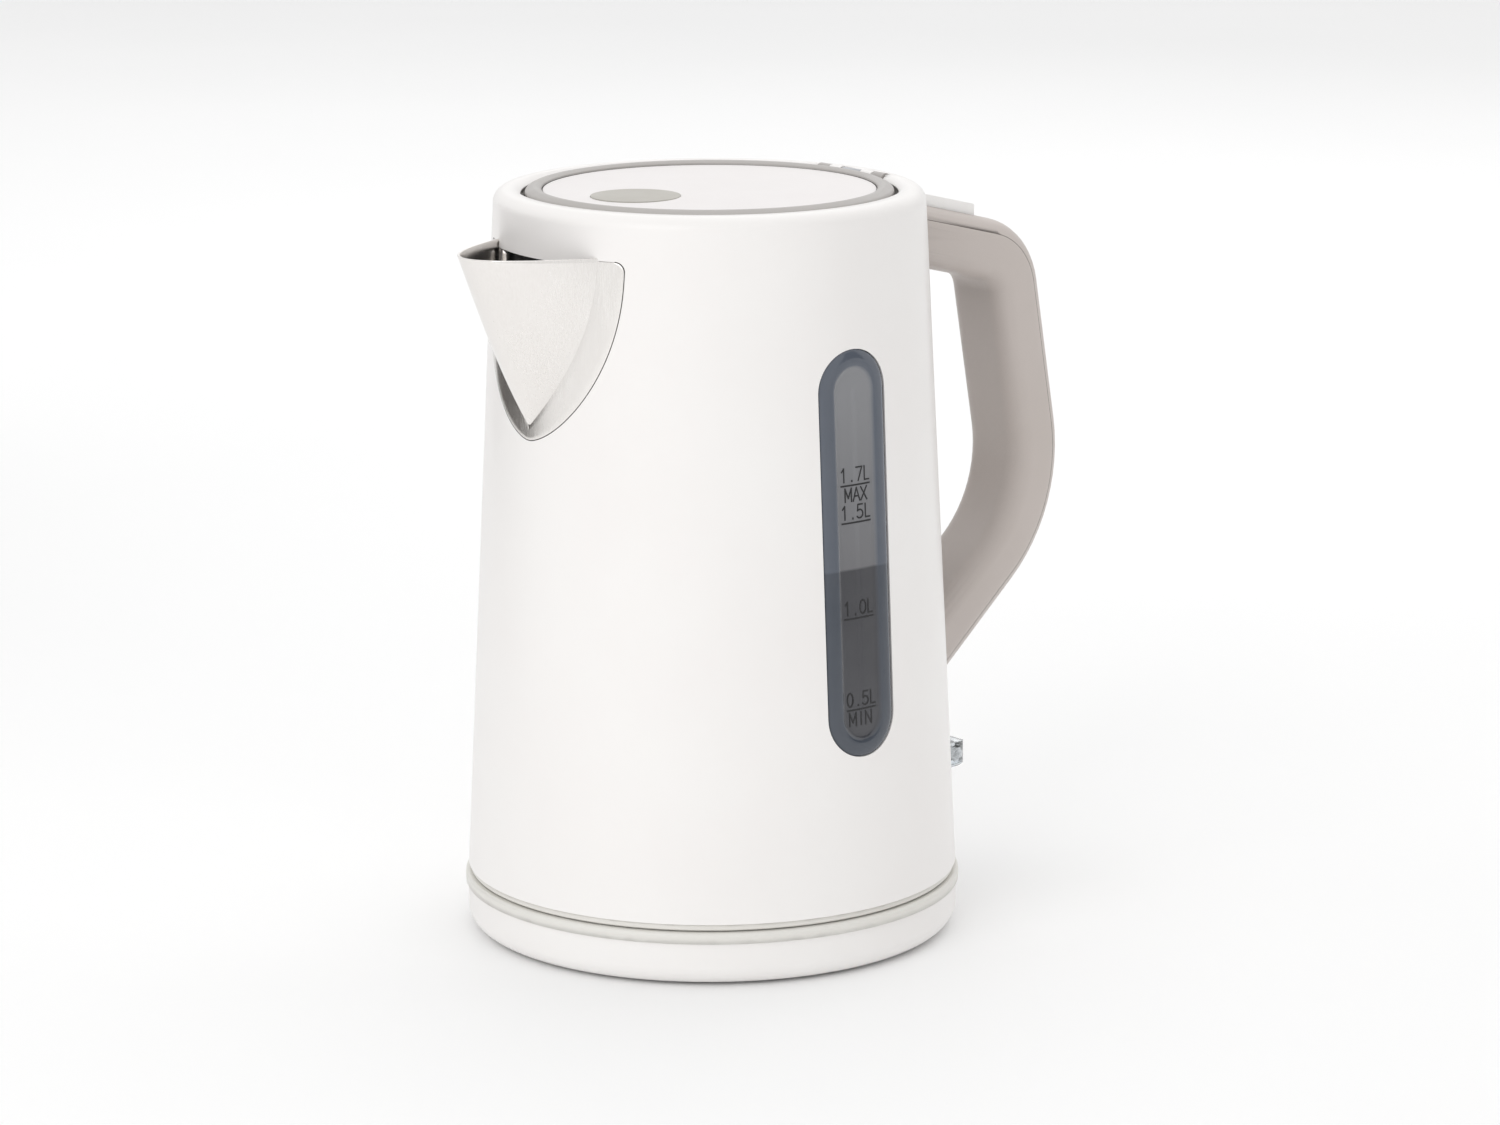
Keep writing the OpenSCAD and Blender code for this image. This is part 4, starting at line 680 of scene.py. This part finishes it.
def printed(name, signs, height, bottom):
    """Lettering wrapped on the window's inner panel. Each sign is (character, left, right) and is drawn in
    strokes of even width: every stroke is a thin box along its segment, lengthened by half its width."""
    starts, ends = [], []
    for character, left, right in signs:
        for line in STROKES[character]:
            line = np.array(line) * [right - left, height] + [left, bottom]
            starts.append(line[:-1])
            ends.append(line[1:])
    starts, ends = np.concatenate(starts), np.concatenate(ends)
    step = ends - starts
    step /= np.linalg.norm(step, axis=1)[:, None]
    side = np.stack([-step[:, 1], step[:, 0]], -1) * STROKE_HALF
    reach = step * STROKE_HALF * 0.8
    flat = np.stack([starts - reach - side, ends + reach - side, ends + reach + side,
                     starts - reach + side], 1)
    layers = [on_skin(flat[..., 0], flat[..., 1], depth) for depth in (PRINT_LOW, PRINT_HIGH)]
    points = np.concatenate(layers, 1).reshape(-1, 3)
    box = np.array([[3, 2, 1, 0], [4, 5, 6, 7], [0, 1, 5, 4], [1, 2, 6, 5], [2, 3, 7, 6], [3, 0, 4, 7]])
    faces = (np.arange(len(starts))[:, None, None] * 8 + box).reshape(-1, 4)
    return piece(name, points, faces, ink, "jug", smooth=False)


def rule(name, height, left, right):
    """A printed bar under a number, wrapped on the window's inner panel."""
    s = np.linspace(left, right, 14)
    rows = [on_skin(s, height + dz, d) for dz, d in ((-0.26, PRINT_LOW), (-0.26, PRINT_HIGH),
                                                   (0.26, PRINT_HIGH), (0.26, PRINT_LOW))]
    points = np.stack(rows, 1).reshape(-1, 3)
    faces = open_tube_faces(len(s), 4)
    return turned_out(piece(name, points, faces, ink, "jug", smooth=False))


def gauge_marks():
    """Litre marks of the water gauge with their bars, and the words for the highest and lowest fill."""
    for name, whole, part, bar in (("mark_17", "1", "7", 158.0), ("mark_15", "1", "5", 146.1),
                                   ("mark_10", "1", "0", 115.5), ("mark_05", "0", "5", 86.2)):
        whole_right = -3.7 if whole == "0" else -4.2
        signs = [(whole, -5.9, whole_right), (".", -1.9, -1.2), (part, 0.2, 2.7), ("L", 3.7, 5.6)]
        printed(name, signs, 4.3, bar + 1.2)
        rule(name + "_bar", bar, -6.1, 5.9)
    printed("mark_max", [("M", -4.4, -1.9), ("A", -1.2, 1.5), ("X", 2.0, 4.5)], 4.2, 152.9)
    printed("mark_min", [("M", -5.2, -2.6), ("I", -1.4, 0.2), ("N", 1.3, 3.7)], 4.2, 81.1)


# ------------------------------------------------------------------ handle seam

ARM_SLOPE, LEAN_SLOPE, TAIL_SLOPE = 14.0, 80.0, 138.0
UPPER_BEND_R, LOWER_BEND_R = 16.75, 50.0
GRIP_REACH, CORNER_DEPTH, LOW_CORNER_H = 51.8, 33.0, 103.4
HANDLE_TOP_CORNER = np.array([SHELL_TOP_R + GRIP_REACH, BODY_TOP - CORNER_DEPTH])
HANDLE_LOW_Z = SHELL_Z + LOW_CORNER_H
HANDLE_LEAN = (HANDLE_TOP_CORNER[1] - HANDLE_LOW_Z) / math.tan(math.radians(LEAN_SLOPE))
HANDLE_LOW_CORNER = np.array([HANDLE_TOP_CORNER[0] + HANDLE_LEAN, HANDLE_LOW_Z])
GRIP_HALF_W, GRIP_HALF_T, GRIP_ROUND, COVER_T = 14.0, 10.25, 7.0, 4.7


def handle_centre(steps=26):
    """Centreline of the grip as (point, slope) rows: straight arms at 14, 80 and 138 degrees below the
    horizontal, joined by arcs of 16.75 and 50 mm that touch both arms."""
    def along(a):
        return np.stack([np.cos(a), -np.sin(a)], -1)

    def outward(a):
        return np.stack([np.sin(a), np.cos(a)], -1)

    a0, a1, a2 = np.radians([ARM_SLOPE, LEAN_SLOPE, TAIL_SLOPE])
    points, slopes = [], []
    for corner, radius, first, second in ((HANDLE_TOP_CORNER, UPPER_BEND_R, a0, a1),
                                          (HANDLE_LOW_CORNER, LOWER_BEND_R, a1, a2)):
        centre = corner - along(first) * radius * math.tan((second - first) / 2) - outward(first) * radius
        a = np.linspace(first, second, steps)
        points.append(centre + radius * outward(a))
        slopes.append(a)
    start = HANDLE_TOP_CORNER - along(a0) * np.linspace(64, 16, 18)[:, None]
    end = HANDLE_LOW_CORNER + along(a2) * np.linspace(34, 96, 18)[:, None]
    return (np.concatenate([start, *points, end]),
            np.concatenate([np.full(18, a0), *slopes, np.full(18, a2)]))


def handle_seams():
    """Shadow lines along the grip's parting: a thin strip on each side face, at the cover's edge."""
    centre, slope = handle_centre()
    out = np.stack([np.sin(slope), np.cos(slope)], -1)
    n = GRIP_HALF_T - COVER_T
    turn = math.asin((n - GRIP_HALF_T + GRIP_ROUND) / GRIP_ROUND)
    edge = GRIP_HALF_W - GRIP_ROUND + GRIP_ROUND * math.cos(turn)
    for name, side in (("handle_seam_near", -1), ("handle_seam_far", 1)):
        rows = []
        for dn, dy in ((-0.11, -0.3), (-0.11, 0.03), (0.11, 0.0), (0.11, -0.3)):
            p = centre + (n + dn) * out
            rows.append(np.stack([p[:, 0], np.full(len(p), side * (edge + dy)), p[:, 1]], -1))
        points = np.stack(rows, 1)
        keep = np.hypot(points[..., 0], points[..., 1]).max(1) > shell_r(points[..., 2].mean(1)) + 0.4
        points = points[keep]
        faces = open_tube_faces(len(points), 4)
        turned_out(piece(name, points.reshape(-1, 3), faces, soft_seam_shadow, "jug"))


# ------------------------------------------------------------------ spout

LIP_Z, BEAK_H, BEAK_HALF = BODY_TOP - 13.9, 55.9, 26.1
BEAK_LEAN = 0.431
BEAK_FOOT = LIP_Z - BEAK_H


def crease_half(z):
    """Half width of the beak where it meets the jug: full at the lip, shrinking as 1 - fall^2.3 below it."""
    return BEAK_HALF * (1 - np.clip((LIP_Z - z) / BEAK_H, 0, 1) ** 2.3)


def spout_beak(rows=72, columns=64, sheet=0.9):
    """Folded sheet: at each height a parabola runs from the straight leaning front edge back to the jug's
    skin on both sides. An inner copy lies one sheet further in, and a round lip joins the two."""
    rise = np.cos(np.linspace(0, 1, rows) * math.pi / 2)
    u = np.linspace(-1, 1, 2 * columns + 1)[None, :]

    def sheet_at(fall, inset, top):
        z = (LIP_Z - fall * BEAK_H)[:, None]
        half = crease_half(z) + 0.3 - inset
        front = -shell_r(BEAK_FOOT) - BEAK_LEAN * (z - BEAK_FOOT) + inset * math.hypot(1, BEAK_LEAN)
        back = -np.sqrt((shell_r(z) - 0.4) ** 2 - half ** 2)
        return np.stack([front + (back - front) * u ** 2, half * u, z + top + 0 * u], -1)

    outer = sheet_at(rise * 0.985, 0.0, 0.0)
    inner = sheet_at(rise * 0.955, sheet, 0.0)
    lip = [sheet_at(np.array([0.0]), i, h) for i, h in ((0.12, 0.16), (0.45, 0.24), (0.78, 0.16))]
    points = np.concatenate([outer, *lip, inner[::-1]])
    n = points.shape[1]
    faces = grid_faces(len(points), n, True, False).tolist()
    for column in (0, n - 1):
        ring = [i * n + column for i in range(len(points))]
        half = len(ring) // 2
        faces += [[ring[i], ring[i + 1], ring[-2 - i], ring[-1 - i]] for i in range(half - 1)]
    return turned_out(piece("spout_beak", points.reshape(-1, 3), faces, steel, "jug",
                            replaces=["spout"], sharp=50))


def spout_flange():
    """Flange let into the shell: a band on the skin between the beak's crease and the flange's outline,
    standing a hair proud, with rounded edges that dip below the skin."""
    arc, z = spout_flange_path(0.0)
    foot, top = z[0], z[-1]
    crease_z = BEAK_FOOT + (top - 0.05 - BEAK_FOOT) * (z - foot) / (top - foot)
    y = np.maximum(crease_half(crease_z) - 0.2, 0)
    crease = shell_r(crease_z) * np.arcsin(y / shell_r(crease_z))
    inner = np.concatenate([np.stack([-crease[::-1], crease_z[::-1]], -1), np.stack([crease, crease_z], -1)])
    outer = np.concatenate([np.stack([-arc[::-1], z[::-1]], -1), np.stack([arc, z], -1)])
    rows = []
    for share, depth in ((0, -1.0), (0, 0.12), (0.02, 0.15), (0.25, 0.15), (0.5, 0.15), (0.75, 0.15),
                         (0.95, 0.15), (0.985, 0.1), (1, -0.02), (1, -1.0)):
        flat = inner + (outer - inner) * share
        rows.append(on_skin(flat[:, 0], flat[:, 1], depth, 180.0))
    points = np.stack(rows, 1)
    faces = open_tube_faces(len(points), points.shape[1])
    return turned_out(piece("spout_flange", points.reshape(-1, 3), faces, steel, "jug",
                            sharp=50))


def spout_collar():
    """Sleeve that carries the spout through the double wall: a thin band along the mouth's outline."""
    z = np.linspace(BEAK_FOOT + 1.6, BODY_TOP - 16.6, 40)
    z = BEAK_FOOT + 1.6 + (z - z[0]) ** 1.25 / (z[-1] - z[0]) ** 0.25
    y = np.maximum(crease_half(z - 1.0) - 1.3, 0)
    path = np.concatenate([np.stack([-y[::-1], z[::-1]], -1), np.stack([y, z], -1)])
    shrink = np.stack([-np.sign(path[:, 0]) * np.minimum(0.7, np.abs(path[:, 0])), 0 * path[:, 1]], -1)
    rows = [on_skin((path + k * shrink)[:, 0], (path + k * shrink)[:, 1], d, 180.0)
            for k, d in ((0, -0.9), (1, -0.9), (1, -3.6), (0, -3.6))]
    points = np.stack(rows, 1).reshape(-1, 3)
    faces = open_tube_faces(len(path), 4)
    return turned_out(piece("spout_collar", points, faces, steel, "jug"))


# ------------------------------------------------------------------ lid seams

def ring_line(name, centre, radius, half_width, z0, z1, body, finish, steps=192):
    """A thin flat ring: a small rectangle turned about an upright through the centre."""
    points, faces = revolve([(radius - half_width, z0), (radius + half_width, z0),
                             (radius + half_width, z1), (radius - half_width, z1)], steps)
    return turned_out(piece(name, points + np.array([centre[0], centre[1], 0.0]), faces, finish, body,
                            smooth=False))


LID_TOP = high("lid_cover")[2]
LID_DISC_R = high("lid_cover")[1]
LID_CROWN = 0.3
INLAY_CENTRE = (low("lid_inlay") + high("lid_inlay")) / 2
INLAY_R = (high("lid_inlay")[1] - low("lid_inlay")[1]) / 2

def lid_disc(rings=40, steps=192):
    """Lid's outer cap: rings between the inlay's hole and the rim, blended from the hole's circle to the
    rim's circle, following the cap's shallow crown. A rolled edge and a flat underside close it."""
    hole = (INLAY_CENTRE[0], 0.0)
    t = np.radians(np.arange(steps) * 360 / steps)[:, None]
    share = np.linspace(0, 1, rings)[None, :]
    inner = np.stack([hole[0] + (INLAY_R + 0.12) * np.cos(t), (INLAY_R + 0.12) * np.sin(t)], -1)
    outer = np.stack([(LID_DISC_R - 0.5) * np.cos(t), (LID_DISC_R - 0.5) * np.sin(t)], -1)
    flat = inner + (outer - inner) * share[..., None]
    crown = LID_TOP - LID_CROWN * (np.hypot(flat[..., 0], flat[..., 1]) / LID_DISC_R) ** 2
    top = np.concatenate([flat, crown[..., None]], -1)
    edge_z = LID_TOP - LID_CROWN
    edge = [np.stack([(LID_DISC_R - 0.5 + r) * np.cos(t[:, 0]), (LID_DISC_R - 0.5 + r) * np.sin(t[:, 0]),
                      edge_z + h + 0 * t[:, 0]], -1)[:, None]
            for r, h in ((0.3, -0.08), (0.46, -0.26), (0.5, -0.5), (0.5, -1.2))]
    sill = np.concatenate([inner[:, 0], np.full((steps, 1), edge_z - 1.2)], -1)[:, None]
    points = np.concatenate([top, *edge, sill], 1)
    return turned_out(piece("lid_disc", points.reshape(-1, 3), grid_faces(steps, points.shape[1], True, True),
                            lid_white, "lid", replaces=["lid_cover"], sharp=50))


lid_disc()
spout_beak()
spout_flange()
spout_collar()
# Painted shadow lines in the gaps round the lid's rim and round the inlay.
ring_line("lid_seam", (0, 0), LID_DISC_R + 0.1, 0.2, LID_TOP - LID_CROWN - 0.9,
          LID_TOP - LID_CROWN - 0.02, "lid", seam)
ring_line("inlay_seam", INLAY_CENTRE, INLAY_R + 0.1, 0.2, LID_TOP - 1.2, LID_TOP - 0.3, "lid", seam,
          96)
window_pane()
flange_seam()
gauge_marks()
handle_seams()
for node, slot in (("handle_grip", "greige_plastic"), ("handle_cover", "greige_plastic"),
                   ("switch_lever", "clear_plastic"),
                   ("release_button", "white_plastic"), ("water_vessel", "vessel_steel"),
                   ("lid_liner", "pale_greige_plastic")):
    smoothed(node, NODE_FINISH[node], 34)

spring = smoothed("button_spring", zinc, weighted=False)
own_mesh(spring)
